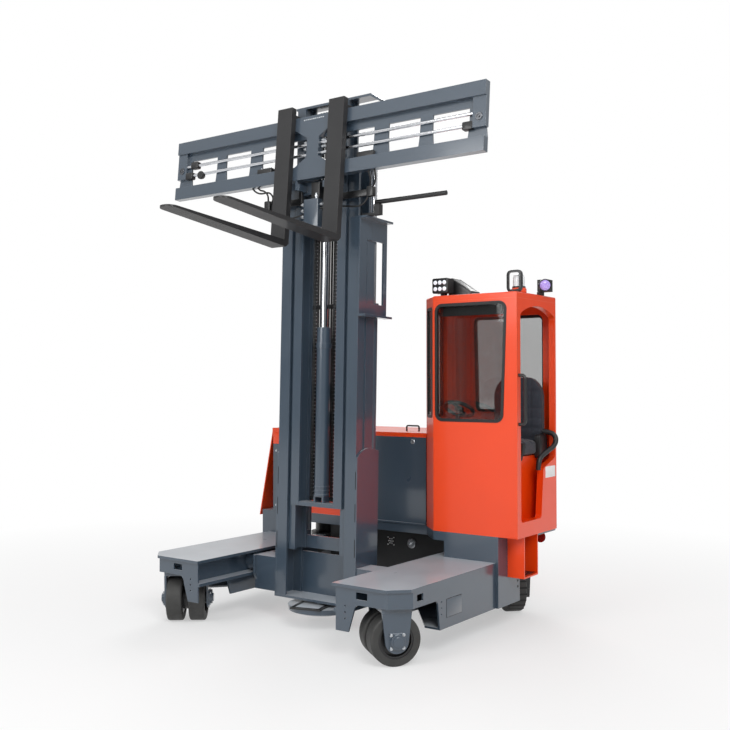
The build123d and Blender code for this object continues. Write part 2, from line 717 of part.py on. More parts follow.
# Reach carriage: rollers in the legs' channels and a side bracket to each, level while the mast leans
back = mast_y + outer_depth
roller_radius = channel_height / 2 - running_gap
roller_z = (channel_top + channel_bottom) / 2
carrier_x = leg_inner_x - 25
carrier_plate = 16
foot_x = outer_x + cheek_plate
with BuildPart() as reach:
    for side in (1, -1):
        inner, outer = sorted((side * foot_x, side * carrier_x))
        block((inner, outer), (mast_y + 12, back), (outer_bottom + 10, outer_bottom + 240))
        low, high = sorted((side * (carrier_x - carrier_plate), side * carrier_x))
        outline = [(mast_y - 10, 300), (mast_y + 40, 200), (mast_y + 380, 200), (mast_y + 440, 280),
                   (mast_y + 440, 424), (mast_y - 10, 424)]
        plate(Plane.YZ.offset(low), outline, carrier_plate)
        for y in (mast_y + 90, mast_y + 330):
            rod((side * carrier_x, y, roller_z), (side * (web_x - 6), y, roller_z), 24)
            rod((side * (leg_inner_x + 12), y, roller_z), (side * (web_x - 6), y, roller_z), roller_radius)
save(reach, "reach_carriage")

# Mast's foot: a cheek beside each outer rail, a sole and an upright plate between them, and a round pan below
with BuildPart() as foot:
    for side in (1, -1):
        low = side * outer_x if side > 0 else side * foot_x
        with BuildSketch(Plane.YZ.offset(low)) as cheek:
            with BuildLine():
                Polyline((mast_y + cheek_depth, cheek_top - 20), (mast_y + cheek_depth, outer_bottom + 210),
                         (back + foot_plate, outer_bottom - foot_sole), (mast_y, outer_bottom - foot_sole),
                         (mast_y, cheek_top - 60))
                ThreePointArc((mast_y, cheek_top - 60), (mast_y + 60, cheek_top - 16), (mast_y + 140, cheek_top))
                Line((mast_y + 140, cheek_top), (mast_y + cheek_depth, cheek_top - 20))
            make_face()
        extrude(amount=cheek_plate)
    block((-foot_x, foot_x), (mast_y, back + foot_plate), (outer_bottom - foot_sole, outer_bottom))
    block((-foot_x, foot_x), (back, back + foot_plate), (outer_bottom, foot_plate_top))
    with BuildSketch(Plane.XZ.offset(-(mast_y + outer_depth / 2))):
        with BuildLine():
            Polyline((0, outer_bottom - foot_sole), (60, outer_bottom - foot_sole), (60, dish_bottom + dish_height),
                     (dish_radius, dish_bottom + dish_height), (dish_radius - 6, dish_bottom + 12),
                     (dish_radius - 40, dish_bottom), (0, dish_bottom), close=True)
        make_face()
    revolve(axis=Axis((0, mast_y + outer_depth / 2, 0), (0, 0, 1)))
save(foot, "mast_foot", -mast_lean)

# Mast rails: each stage is a pair of rolled sections standing inside the next
def channel_section(side):
    """The outer rail: a channel open towards the middle."""
    low = outer_x - outer_flange
    groove_y = mast_y + groove_front
    return [(side * low, mast_y), (side * outer_x, mast_y), (side * outer_x, groove_y),
            (side * (outer_x - groove_depth), groove_y), (side * (outer_x - groove_depth), groove_y + groove_width),
            (side * outer_x, groove_y + groove_width), (side * outer_x, mast_y + outer_depth),
            (side * low, mast_y + outer_depth), (side * low, mast_y + outer_depth - flange),
            (side * (outer_x - outer_web), mast_y + outer_depth - flange),
            (side * (outer_x - outer_web), mast_y + flange), (side * low, mast_y + flange)]


def beam_section(side, outside, width, web_outside, web, front, depth):
    """An inner stage's rail: two flanges with a web between them."""
    low = outside - width
    y = mast_y + front
    return [(side * low, y), (side * outside, y), (side * outside, y + flange), (side * web_outside, y + flange),
            (side * web_outside, y + depth - flange), (side * outside, y + depth - flange),
            (side * outside, y + depth), (side * low, y + depth), (side * low, y + depth - flange),
            (side * (web_outside - web), y + depth - flange), (side * (web_outside - web), y + flange),
            (side * low, y + flange)]


with BuildPart() as outer_rails:
    for side in (1, -1):
        plate(Plane.XY.offset(outer_bottom), channel_section(side), outer_top - outer_bottom)
save(outer_rails, "mast_outer_rails", -mast_lean)
with BuildPart() as middle_rails:
    for side in (1, -1):
        plate(Plane.XY.offset(middle_bottom),
              beam_section(side, middle_x, middle_flange, middle_web_x, middle_web, middle_front, middle_depth),
              middle_top - middle_bottom)
        low, high = sorted((side * (middle_web_x + 12), side * (middle_x - 4)))
        block((low, high), (mast_y + flange + running_gap, mast_y + middle_front),
              (middle_bottom + 40, middle_bottom + 40 + pad_height))
save(middle_rails, "mast_middle_rails", -mast_lean)
with BuildPart() as inner_rails:
    for side in (1, -1):
        plate(Plane.XY.offset(inner_bottom),
              beam_section(side, inner_x, inner_flange, inner_web_x, inner_web, inner_front, inner_depth),
              inner_top - inner_bottom)
        low, high = sorted((side * (inner_web_x + 10), side * (inner_x - 4)))
        block((low, high), (mast_y + inner_front + flange, mast_y + middle_front - running_gap),
              (inner_bottom + 40, inner_bottom + 40 + pad_height))
save(inner_rails, "mast_inner_rails", -mast_lean)

# Cross members behind the rails, each clear of the stage inside it
with BuildPart() as outer_ties:
    for z, height in outer_tie_rows:
        block((-outer_x + outer_tie_inset, outer_x - outer_tie_inset), (back, back + outer_tie_plate), (z, z + height))
save(outer_ties, "mast_outer_ties", -mast_lean)
middle_back = mast_y + middle_front + middle_depth
with BuildPart() as middle_ties:
    block((-middle_web_x, middle_web_x), (middle_back, middle_back + middle_tie_plate),
          (middle_bottom, middle_bottom + middle_tie_height))
    block((-outer_x, outer_x), (middle_back - flange, back + lift_behind + 40), (middle_top, middle_top + middle_head_height))
save(middle_ties, "mast_middle_ties", -mast_lean)
with BuildPart() as inner_ties:
    tie_y = (mast_y + inner_front + flange, mast_y + inner_front + inner_depth - flange)
    tie_z = (inner_bottom, inner_bottom + inner_tie_height)
    block((-inner_web_x + inner_web, inner_web_x - inner_web), tie_y, tie_z)
    block((-inner_x + inner_flange, inner_x - inner_flange), (mast_y + inner_front + 2, tie_y[0]), tie_z)
    # top plate, bent down past the right rail
    top_plate = [(-inner_x - 45, inner_top), (inner_x + 155, inner_top), (inner_x + 226, inner_top - 46),
                 (inner_x + 236, inner_top - 34), (inner_x + 160, inner_top + 16), (-inner_x - 45, inner_top + 16)]
    plate(Plane.XZ.offset(-(mast_y + 40)), top_plate, -100)
save(inner_ties, "mast_inner_ties", -mast_lean)

# Lift cylinders behind the outer rails: barrels on the outer stage, rods on the middle stage
lift_y = back + lift_behind
with BuildPart() as lift_barrels:
    for side in (1, -1):
        x = side * lift_x
        rod((x, lift_y, lift_barrel_bottom), (x, lift_y, lift_barrel_top), lift_barrel_radius)
        rod((x, lift_y, lift_barrel_top - 36), (x, lift_y, lift_barrel_top), lift_barrel_radius + 6)
        block((x - 40, x + 40), (back, lift_y), (lift_barrel_bottom, lift_barrel_bottom + 40))
        block((x - 40, x + 40), (back, lift_y - lift_barrel_radius + 10), (lift_barrel_top - 100, lift_barrel_top - 60))
        rod((x, lift_y, lift_barrel_bottom + 40), (x, lift_y, lift_barrel_top), lift_rod_radius + cylinder_gap,
            mode=Mode.SUBTRACT)
save(lift_barrels, "lift_barrels", -mast_lean)
with BuildPart() as lift_rods:
    for side in (1, -1):
        rod((side * lift_x, lift_y, lift_rod_foot + stage_lift), (side * lift_x, lift_y, middle_top), lift_rod_radius)
save(lift_rods, "lift_rods", -mast_lean)

# Free lift: a cylinder standing on the inner stage's lower tie; its rod carries the chain sheaves
free_y = mast_y + free_back
stand_z = inner_bottom + inner_tie_height
free_bottom = stand_z + free_stand
free_rod_top = inner_top - free_rod_drop
with BuildPart() as free_barrel:
    block((-free_barrel_radius + 6, free_barrel_radius - 6), (free_y - 32, free_y + 32), (stand_z, free_bottom))
    block((-28, 28), (free_y - 32, free_y + 32), (stand_z, free_bottom - 9), mode=Mode.SUBTRACT)
    rod((0, free_y, free_bottom), (0, free_y, free_barrel_top), free_barrel_radius)
    for z, height in ((free_bottom, 12), (free_bottom + 30, 8), (free_bottom + 56, 8), (free_barrel_top - 140, 34)):
        rod((0, free_y, z), (0, free_y, z + height), free_barrel_radius + 5)
    rod((0, free_y, free_bottom + 20), (0, free_y, free_barrel_top), free_rod_radius + cylinder_gap,
        mode=Mode.SUBTRACT)
save(free_barrel, "free_lift_barrel", -mast_lean)
with BuildPart() as free_rod:
    rod((0, free_y, free_bottom + 28 + free_stroke), (0, free_y, free_rod_top), free_rod_radius)
    block((-110, 110), (free_y - 22, free_y + 22), (free_rod_top, free_rod_top + 40))
    for side in (1, -1):
        rod((side * 84, free_y, free_rod_top + 20), (side * 112, free_y, free_rod_top + 20), sheave_radius)
save(free_rod, "free_lift_rod", -mast_lean)

# Carriage: two side plates with rollers in the inner rails, and cross plates in front
hinge_y = frame_y - sin(tilt) * hinge_drop
hinge_z = frame_middle_z - cos(tilt) * hinge_drop
carriage_low = frame_middle_z - 300
carriage_high = frame_middle_z + 200
roller_gap = inner_depth - 2 * flange
with BuildPart() as carriage:
    for side in (1, -1):
        low, high = sorted((side * (carriage_side_x - 14), side * carriage_side_x))
        block((low, high), (mast_y - 20, mast_y + 100), (carriage_low, carriage_high))
        for z in (carriage_low + 60, carriage_high - 60):
            y = mast_y + inner_front + inner_depth / 2
            rod((side * carriage_side_x, y, z), (side * (inner_web_x - inner_web - 2), y, z), roller_gap / 2 - running_gap)
    for z in (carriage_low, carriage_high - 90):
        block((-carriage_side_x, carriage_side_x), (mast_y - 20, mast_y - 6), (z, z + 90))
    # hinge ears under the fork frame
    for side in (1, -1):
        low, high = sorted((side * 100, side * 118))
        block((low, high), (hinge_y - 18, mast_y - 20), (hinge_z - 22, hinge_z + 22))
    rod((-130, hinge_y, hinge_z), (130, hinge_y, hinge_z), hinge_radius + 0.05, mode=Mode.SUBTRACT)
save(carriage, "carriage_base", -mast_lean)

# Fork frame: everything on it is drawn on its own leaning face
forward = (0, -cos(tilt), sin(tilt))
face_plane = Plane(origin=(0, frame_y, frame_middle_z), x_dir=(1, 0, 0), z_dir=forward)
side_plane = Plane(origin=face_plane.origin, x_dir=forward, z_dir=(-1, 0, 0))
half_height = frame_height / 2
half_thick = frame_thickness / 2
waist = half_height - frame_beam
with BuildPart() as fork_frame:
    for side in (1, -1):
        end = side * frame_half
        plate(face_plane.offset(-half_thick), [(0, waist), (0, half_height), (end, half_height), (end, waist)],
              frame_thickness)
        plate(face_plane.offset(-half_thick), [(0, -half_height), (0, -waist), (end, -waist), (end, -half_height)],
              frame_thickness)
        strip_end = side * (frame_half - frame_end_width)
        strip = [(0, waist - frame_strip), (0, waist), (strip_end, waist), (strip_end, waist - frame_strip)]
        plate(face_plane.offset(-half_thick), strip, frame_web)
        end_plate = [(end, waist), (end, -frame_end_foot), (strip_end, -frame_end_foot), (strip_end, waist)]
        plate(face_plane.offset(-half_thick), end_plate, frame_thickness - 12)
        # upright webs between the beams, their sides bowed in
        for i, width in enumerate(frame_web_widths):
            outer = side * (frame_half - i * frame_web_pitch)
            if i:
                outer -= side * (frame_web_widths[0] - width)
            inner = outer - side * width
            bow = side * frame_web_bow
            with BuildSketch(face_plane.offset(-half_thick)) as web_outline:
                with BuildLine():
                    Line((outer, -waist), (inner, -waist))
                    ThreePointArc((inner, -waist), (inner + bow, -waist / 3), (inner + bow / 2, waist))
                    Line((inner + bow / 2, waist), (outer - bow / 2, waist))
                    ThreePointArc((outer - bow / 2, waist), (outer - bow, -waist / 3), (outer, -waist))
                make_face()
            extrude(amount=frame_web)
    centre = [(-150, half_height - 12), (-150, waist), (-50, waist - 60), (-50, -waist + 60), (-150, -waist),
              (-150, -half_height), (150, -half_height), (150, -waist), (50, -waist + 60), (50, waist - 60),
              (150, waist), (150, half_height - 12)]
    plate(face_plane.offset(-half_thick), centre, frame_thickness)
    for side in (1, -1):
        lug = [(-20, -half_height), (-20, -hinge_drop - 18), (20, -hinge_drop - 18), (20, -half_height)]
        plate(side_plane.offset(-side * 127), lug, 8, both=True)
        rod((side * 99, hinge_y, hinge_z), (side * 130, hinge_y, hinge_z), hinge_radius)
save(fork_frame, "fork_frame", -mast_lean)

with BuildPart() as rods:
    for side in (1, -1):
        for height in rod_heights:
            start = face_plane.from_local_coords((side * 50, height, 0))
            end = face_plane.from_local_coords((side * (frame_half - frame_end_width), height, 0))
            rod(start, end, rod_radius)
save(rods, "positioner_rods", -mast_lean)

# Forks: forged from one bar, bent at the heel; the blade's underside rises to a rounded tip
back_line = half_thick + 0.5
front_line = back_line + fork_thickness
tip_line = half_thick + fork_thickness + fork_length
blade_top = -fork_heel + fork_thickness
profile = [(back_line, -fork_heel + fork_heel_flat), (back_line, fork_shank_top), (front_line, fork_shank_top),
           (front_line, blade_top), (tip_line, blade_top), (tip_line, blade_top - fork_tip),
           (back_line + fork_heel_flat, -fork_heel)]
hook = [(-half_thick - 14, half_height + 0.5), (back_line, half_height + 0.5),
        (back_line, half_height + 24), (-half_thick - 14, half_height + 24)]
for name, side, back_y in sides:
    with BuildPart() as fork:
        plate(side_plane.offset(-side * fork_x), profile, fork_width / 2, both=True)
        tip_edges = fork.edges().filter_by(lambda edge: abs(edge.length - fork_tip) < 0.01)
        fillet(tip_edges, fork_tip_round)
        plate(side_plane.offset(-side * fork_x), hook, fork_width / 2, both=True)
    save(fork, f"fork_{name}", -mast_lean)

# Side bracket at the outer rail's head, and the bar beside the mast
bracket_y = (mast_y - 10, mast_y - 10 + bracket_depth)
bracket_low = outer_top - bracket_height
with BuildPart() as bracket:
    block((outer_x, outer_x + bracket_plate), bracket_y, (bracket_low, outer_top))
    block((outer_x, outer_x + bracket_plate), (bracket_y[0] + 80, bracket_y[1] - 40),
          (bracket_low + 90, bracket_low + 90 + bracket_window), mode=Mode.SUBTRACT)
    for z in (bracket_low, outer_top - 14):
        block((outer_x, outer_x + bracket_lip), bracket_y, (z, z + 14))
save(bracket, "mast_side_bracket", -mast_lean)
with BuildPart() as side_bar:
    arm_y = mast_y + 15
    block((outer_x, 470), (arm_y, arm_y + 45), (outer_top, outer_top + 16))
    block((430, 470), (arm_y, arm_y + 45), (outer_top + 16, outer_top + 70))
    rod((430, arm_y + 22, outer_top + 85), (965, arm_y + 22, outer_top + 85), 15)
save(side_bar, "side_bar", -mast_lean)
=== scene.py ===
from math import cos, exp, pi, radians, sin

import bmesh
import bpy
from mathutils import Matrix, Vector


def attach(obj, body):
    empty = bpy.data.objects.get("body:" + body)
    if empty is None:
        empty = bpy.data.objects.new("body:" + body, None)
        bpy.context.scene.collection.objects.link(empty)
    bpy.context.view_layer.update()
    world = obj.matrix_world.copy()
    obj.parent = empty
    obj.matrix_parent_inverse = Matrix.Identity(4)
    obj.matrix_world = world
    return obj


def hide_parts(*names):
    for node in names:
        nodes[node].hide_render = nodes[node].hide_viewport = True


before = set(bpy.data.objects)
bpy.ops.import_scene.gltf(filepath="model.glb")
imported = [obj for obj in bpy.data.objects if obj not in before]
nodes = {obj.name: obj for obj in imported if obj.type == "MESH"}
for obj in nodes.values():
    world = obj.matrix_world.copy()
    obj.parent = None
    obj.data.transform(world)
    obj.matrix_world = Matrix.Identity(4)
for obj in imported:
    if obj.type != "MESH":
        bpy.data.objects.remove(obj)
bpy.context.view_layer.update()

mm = 0.001
scene = bpy.context.scene

# The truck's planes, in metres: the cab's front skin leads and the others follow from it
front = 0.42144
mast_front = front - 0.577          # mast's front plane at its foot
panel_front = front + 0.145         # service panels beside the cab
tray_front = front + 0.3            # tray under the battery
rear = front + 0.86                 # rear skin
foot_height = 0.183                 # underside of the mast's foot
roof_height = 2.2                   # top of the cab's roof
mast_lean = radians(1.5)            # both leans are backwards
fork_lean = radians(5)
ahead, astern, upward = (0, -1, 0), (0, 1, 0), (0, 0, 1)
sides = ((1, "right"), (-1, "left"))

# Camera, solved from the photograph: metres, and degrees where it says so
picture_width = 730
camera_place = Vector((4.012, -5.0806, 1.6076))
camera_turn = 36.02                 # degrees to the left of straight ahead
camera_tilt = 1.66                  # degrees up
focal_pixels = 956.16
principal_x, principal_y = 366.39, 355.72

camera = bpy.data.cameras.new("camera")
camera.sensor_width = 36
camera.lens = focal_pixels * camera.sensor_width / picture_width
camera.shift_x = (picture_width / 2 - principal_x) / picture_width
camera.shift_y = (principal_y - picture_width / 2) / picture_width
camera_object = bpy.data.objects.new("camera", camera)
camera_object.location = camera_place
camera_object.rotation_euler = (pi / 2 + radians(camera_tilt), 0, radians(camera_turn))
scene.collection.objects.link(camera_object)
scene.camera = camera_object
scene.view_settings.view_transform = "Standard"


def colour(code):
    """The linear colour of an sRGB hex code."""
    parts = [int(code[i:i + 2], 16) / 255 for i in (1, 3, 5)]
    linear = [p / 12.92 if p <= 0.04045 else ((p + 0.055) / 1.055) ** 2.4 for p in parts]
    return (*linear, 1)


def shaded(code, share, lift=0.0):
    """The linear colour of a hex code, times share, plus a little lift."""
    return tuple(min(1, share * part + lift) for part in colour(code)[:3]) + (1,)


def add(tree, kind, settings=None, inputs=None):
    """Adds a node. inputs gives each socket, by name or number, a value or another node's output."""
    made = tree.nodes.new(kind)
    for name, value in (settings or {}).items():
        setattr(made, name, value)
    for name, value in (inputs or {}).items():
        if isinstance(value, bpy.types.NodeSocket):
            tree.links.new(value, made.inputs[name])
        else:
            made.inputs[name].default_value = value
    return made


def finish_of(name, **values):
    """A new material with one shader, whose sockets get the values as they are."""
    material = bpy.data.materials.new(name)
    material.use_nodes = True
    tree = material.node_tree
    tree.nodes.clear()
    sockets = {socket.replace("_", " "): value for socket, value in values.items()}
    shader = add(tree, "ShaderNodeBsdfPrincipled", inputs=sockets)
    add(tree, "ShaderNodeOutputMaterial", inputs={"Surface": shader.outputs["BSDF"]})
    return material, tree, shader


def cloudy(tree, size, detail=3.0):
    """Soft patches about size metres across, from 0 to 1, fixed to the piece."""
    place = add(tree, "ShaderNodeTexCoord").outputs["Object"]
    patches = add(tree, "ShaderNodeTexNoise", inputs={"Vector": place, "Scale": 1 / size, "Detail": detail})
    return patches.outputs["Fac"]


def give_gloss(tree, shader, patches, low, high):
    """Lets the shader's roughness go from low to high with the patches."""
    rough = add(tree, "ShaderNodeMapRange", inputs={"Value": patches, "To Min": low, "To Max": high})
    tree.links.new(rough.outputs["Result"], shader.inputs["Roughness"])


def give_relief(tree, shader, heights, strength, depth, over=None):
    """Raises the shader's surface by the heights, over the given normals where there are some."""
    inputs = {"Height": heights, "Strength": strength, "Distance": depth}
    if over:
        inputs["Normal"] = over
    skin = add(tree, "ShaderNodeBump", inputs=inputs)
    tree.links.new(skin.outputs["Normal"], shader.inputs["Normal"])


def enamel(name, code, worn, roughness, edge, peel=0.12, top_light_and_dust_colour=None, clear=0.9):
    """Enamel sprayed on steel: an even coat with a faint orange peel, thin and paler on the edges.
    The film colour is painted on the faces that look up: painted light from above on them, with a little dust."""
    material, tree, shader = finish_of(name, Metallic=0.0, IOR=1.5, Coat_Weight=clear, Coat_Roughness=0.12)
    rounded = add(tree, "ShaderNodeBevel", {"samples": 4}, {"Radius": edge}).outputs["Normal"]
    flat = add(tree, "ShaderNodeNewGeometry").outputs["Normal"]
    base, paler, darker = colour(code), colour(worn), shaded(code, 0.9)

    # an edge is where the rounded normal turns away from the flat one
    match = add(tree, "ShaderNodeVectorMath", {"operation": "DOT_PRODUCT"}, {0: rounded, 1: flat})
    edges = add(tree, "ShaderNodeMapRange",
                inputs={"Value": match.outputs["Value"], "From Min": 0.97, "From Max": 0.86})
    rubbed = add(tree, "ShaderNodeMapRange",
                 inputs={"Value": cloudy(tree, 90 * mm), "To Min": 0.1, "To Max": 0.9})
    thin = add(tree, "ShaderNodeMath", {"operation": "MULTIPLY", "use_clamp": True},
               {0: edges.outputs["Result"], 1: rubbed.outputs["Result"]}).outputs["Value"]
    coat = add(tree, "ShaderNodeMix", {"data_type": "RGBA"}, {0: cloudy(tree, 420 * mm), 6: darker, 7: base})
    # painted light: faces that look up are paled as if lit from above, with a little patchy dust
    if top_light_and_dust_colour:
        facing = add(tree, "ShaderNodeSeparateXYZ", inputs={0: flat})
        level = add(tree, "ShaderNodeMapRange",
                    inputs={"Value": facing.outputs["Z"], "From Min": 0.9, "From Max": 0.99})
        patchy = add(tree, "ShaderNodeMapRange",
                     inputs={"Value": cloudy(tree, 350 * mm), "To Min": 0.62, "To Max": 0.98})
        top_light_and_dust_share = add(tree, "ShaderNodeMath", {"operation": "MULTIPLY"},
                   {0: level.outputs["Result"], 1: patchy.outputs["Result"]}).outputs["Value"]
        coat = add(tree, "ShaderNodeMix", {"data_type": "RGBA"},
                   {0: top_light_and_dust_share, 6: coat.outputs[2], 7: colour(top_light_and_dust_colour)})
    worn_coat = add(tree, "ShaderNodeMix", {"data_type": "RGBA"}, {0: thin, 6: coat.outputs[2], 7: paler})
    tree.links.new(worn_coat.outputs[2], shader.inputs["Base Color"])
    give_gloss(tree, shader, cloudy(tree, 160 * mm, 5.0), roughness - 0.07, roughness + 0.1)
    # real orange peel is about 2 mm across; drawn at 7 mm so that it shows
    give_relief(tree, shader, cloudy(tree, 7 * mm, 1.0), peel, 0.4 * mm, rounded)
    return material


def ground_steel(name, code, roughness, streak):
    """Bare steel, turned or ground: fine marks of the tool over a bright metal."""
    material, tree, shader = finish_of(name, Metallic=1.0, Base_Color=colour(code))
    marks = cloudy(tree, streak, 6.0)
    give_gloss(tree, shader, marks, roughness * 0.7, roughness * 1.4)
    give_relief(tree, shader, marks, 0.15, 0.1 * mm)
    return material


def moulded(name, code, roughness, grain, depth):
    """Rubber or plastic from a mould: a fine even grain, a little paler where it is rubbed."""
    material, tree, shader = finish_of(name, Metallic=0.0, IOR=1.5)
    rubbed = add(tree, "ShaderNodeMix", {"data_type": "RGBA"},
                 {0: cloudy(tree, 60 * mm, 4.0), 6: colour(code), 7: shaded(code, 1.9, 0.004)})
    tree.links.new(rubbed.outputs[2], shader.inputs["Base Color"])
    give_gloss(tree, shader, cloudy(tree, 35 * mm), roughness - 0.08, roughness + 0.12)
    give_relief(tree, shader, cloudy(tree, grain, 2.0), 0.35, depth)
    return material


def lamp_glow(name, code, strength):
    """A lit diode behind its lens: an even glow under a slightly cloudy dome."""
    material, tree, shader = finish_of(name, Base_Color=colour(code), Emission_Strength=strength,
                                       Emission_Color=colour(code))
    give_gloss(tree, shader, cloudy(tree, 8 * mm), 0.1, 0.35)
    return material


def seat_weave(name, code, thread):
    """Woven seat cloth: threads that far apart, both ways, pale on their crowns."""
    material, tree, shader = finish_of(name, Metallic=0.0, IOR=1.45, Sheen_Weight=0.25, Roughness=0.75)
    place = add(tree, "ShaderNodeTexCoord").outputs["Object"]
    band_spacing = 0.314                # metres between the bands of a wave pattern at scale 1
    ways = [add(tree, "ShaderNodeTexWave", {"wave_type": "BANDS", "bands_direction": way},
                {"Vector": place, "Scale": band_spacing / thread, "Distortion": 0.4}).outputs["Fac"]
            for way in ("X", "Z")]
    woven = add(tree, "ShaderNodeMath", {"operation": "MULTIPLY"}, {0: ways[0], 1: ways[1]}).outputs["Value"]
    crowns = add(tree, "ShaderNodeMix", {"data_type": "RGBA"},
                 {0: woven, 6: colour(code), 7: shaded(code, 1.8, 0.006)})
    tree.links.new(crowns.outputs[2], shader.inputs["Base Color"])
    give_relief(tree, shader, woven, 0.4, 0.5 * mm)
    return material


def window_glass(name, code):
    """Laminated glass: smoky grey with a faint green, and a thin dust film."""
    material, tree, shader = finish_of(name, Base_Color=colour(code), IOR=1.5, Transmission_Weight=1.0,
                                       Alpha=0.42)
    give_gloss(tree, shader, cloudy(tree, 300 * mm), 0.0, 0.05)
    return material


# Enamel, baked semi-gloss: the truck's slate grey, its decks paled by painted light from above with a little
# dust, and its orange red
slate = enamel("slate_enamel", "#3c4a58", "#74808c", 0.3, 3 * mm, top_light_and_dust_colour="#e2e8ef")
orange = enamel("orange_enamel", "#f24403", "#ff8148", 0.36, 3 * mm, clear=0.35)
# Satin black paint over forged steel: a soft gleam, rubbed through on the edges
black_paint = enamel("black_satin_paint", "#121315", "#4d4b48", 0.45, 2.5 * mm, 0.3, clear=0.3)
# Forged fork steel under thin black paint: matt, brown grey on the edges
fork_black = enamel("fork_black", "#1c1c1e", "#4a4843", 0.6, 4 * mm, 0.35, clear=0.2)
# Hard chrome, ground and polished: nearly a mirror
chrome = ground_steel("hard_chrome", "#d8dade", 0.12, 3 * mm)
# Turned steel, oiled: grey with fine marks
steel = ground_steel("turned_steel", "#6c6e72", 0.35, 2 * mm)
# Zinc-plated bolts and unions: pale and slightly cloudy
zinc = ground_steel("zinc_plate", "#c2c6ca", 0.28, 4 * mm)
# Leaf chain of oiled steel: dark, with bright edges
chain = ground_steel("chain_steel", "#5a5b5c", 0.32, 5 * mm)
# Polyurethane and rubber tyre: worn to a dusty charcoal
tyre = moulded("tyre_rubber", "#2b2b2a", 0.6, 3 * mm, 0.4 * mm)
# Extruded rubber of seals and hoses: black, slightly shiny
rubber = moulded("seal_rubber", "#0c0c0d", 0.42, 2 * mm, 0.1 * mm)
# ABS, moulded with a leather grain: black with a broken gleam
plastic = moulded("moulded_abs", "#111214", 0.45, 2.5 * mm, 0.15 * mm)
# Painted shade for hollows, gaps, slots and grooves: flat black standing for the shade inside them, with a
# little dust
painted_shade = moulded("painted_shade_black", "#08090a", 0.7, 4 * mm, 0.1 * mm)
# Bare plate of white coated sheet: plain and even
bare_plate = moulded("bare_label", "#d9dad8", 0.4, 3 * mm, 0.05 * mm)
# Moulded polycarbonate lenses: smooth and glossy, pale, violet and red
clear_lens = moulded("clear_lens", "#d5d9dc", 0.15, 6 * mm, 0.05 * mm)
violet_lens = moulded("violet_lens", "#9a86d8", 0.15, 6 * mm, 0.05 * mm)
red_lens = moulded("red_lens", "#a3140c", 0.15, 6 * mm, 0.05 * mm)
# Lit diodes: a cool, even white
lit_diode = lamp_glow("lit_diode", "#e8ecf4", 0.35)
# Woven polyester, nearly black with a blue cast; its 1 mm threads are drawn 3 mm apart so that they show
seat_cloth = seat_weave("seat_cloth", "#1d212b", 3 * mm)
# Panes of laminated glass: dim and slightly green
glass = window_glass("laminated_glass", "#7d8582")

finishes = {
    slate: "leg_left leg_right load_yoke_left load_yoke_right chassis_frame service_panel_left "
           "service_panel_right reach_carriage mast_foot mast_outer_rails mast_outer_ties mast_middle_rails "
           "mast_middle_ties mast_inner_rails mast_inner_ties lift_barrels free_lift_barrel mast_side_bracket "
           "carriage_base fork_frame",
    orange: "service_panel_centre end_cover hood cab_front cab_entry cab_rear cab_left cab_floor cab_roof "
            "entry_step seat_base",
    # the battery and its tray are black as painted shade for the dark chassis opening under the covers
    black_paint: "battery battery_tray drive_unit_left drive_unit_right side_bar grab_handle hood_handle "
                 "load_hub_left load_hub_right",
    fork_black: "fork_left fork_right",
    chrome: "lift_rods free_lift_rod positioner_rods",
    steel: "drive_rim_left drive_rim_right",
    tyre: "load_tyres_left load_tyres_right drive_tyre_left drive_tyre_right",
    rubber: "window_seals",
    glass: "window_glass",
    plastic: "console steering_wheel overhead_console roof_lamps",
    seat_cloth: "seat_cushion seat_back",
}
for finish, names in finishes.items():
    for name in names.split():
        node_finishes = nodes[name].data.materials
        node_finishes.clear()
        node_finishes.append(finish)


# Modelling helpers: each leaves its piece selected and in object mode, unless it says otherwise
mast_frame = Matrix.Translation((0, mast_front, foot_height)) @ Matrix.Rotation(-mast_lean, 4, "X")
# x across, y up and z forward from the middle of the fork frame's front face
fork_face = Matrix(((1, 0, 0, 0), (0, sin(fork_lean), -cos(fork_lean), -0.150),
                    (0, cos(fork_lean), sin(fork_lean), 3.183), (0, 0, 0, 1)))


def at(x, y, z):
    """The matrix that moves a piece there."""
    return Matrix.Translation((x, y, z))


def placed(place, toward=upward):
    """The matrix that stands a piece's z axis along toward, at place."""
    return Matrix.Translation(place) @ Vector(toward).to_track_quat("Z", "Y").to_matrix().to_4x4()


def pick_edges(piece, test):
    """In edit mode, selects the edges for whose two ends the test holds."""
    bpy.ops.mesh.select_all(action="DESELECT")
    shape = bmesh.from_edit_mesh(piece.data)
    shape.select_mode = {"EDGE"}
    for edge in shape.edges:
        edge.select_set(test(edge.verts[0].co, edge.verts[1].co))
    shape.select_flush_mode()
    bmesh.update_edit_mesh(piece.data)


def pick_faces(piece, test):
    """In edit mode, selects the faces for whose normal the test holds."""
    bpy.ops.mesh.select_all(action="DESELECT")
    shape = bmesh.from_edit_mesh(piece.data)
    shape.select_mode = {"FACE"}
    for face in shape.faces:
        face.select_set(test(face.normal))
    bmesh.update_edit_mesh(piece.data)


def joined(pieces):
    """The pieces as one, which takes the first one's name."""
    bpy.ops.object.select_all(action="DESELECT")
    for piece in pieces:
        piece.select_set(True)
    bpy.context.view_layer.objects.active = pieces[0]
    if len(pieces) > 1:
        bpy.ops.object.join()
    return bpy.context.object


def copies_of(pattern, places):
    """A copy of the pattern, with its own mesh, at each place; the pattern itself goes."""
    copies = []
    for place in places:
        copy = pattern.copy()
        copy.data = pattern.data.copy()
        copy.data.transform(place)
        scene.collection.objects.link(copy)
        copies.append(copy)
    bpy.data.objects.remove(pattern, do_unlink=True)
    return copies


def started(name):
    """The primitive just added, named, with its place put into its mesh, in edit mode."""
    piece = bpy.context.object
    piece.name = name
    bpy.ops.object.transform_apply(location=True, rotation=True, scale=True)
    bpy.ops.object.mode_set(mode="EDIT")
    return piece


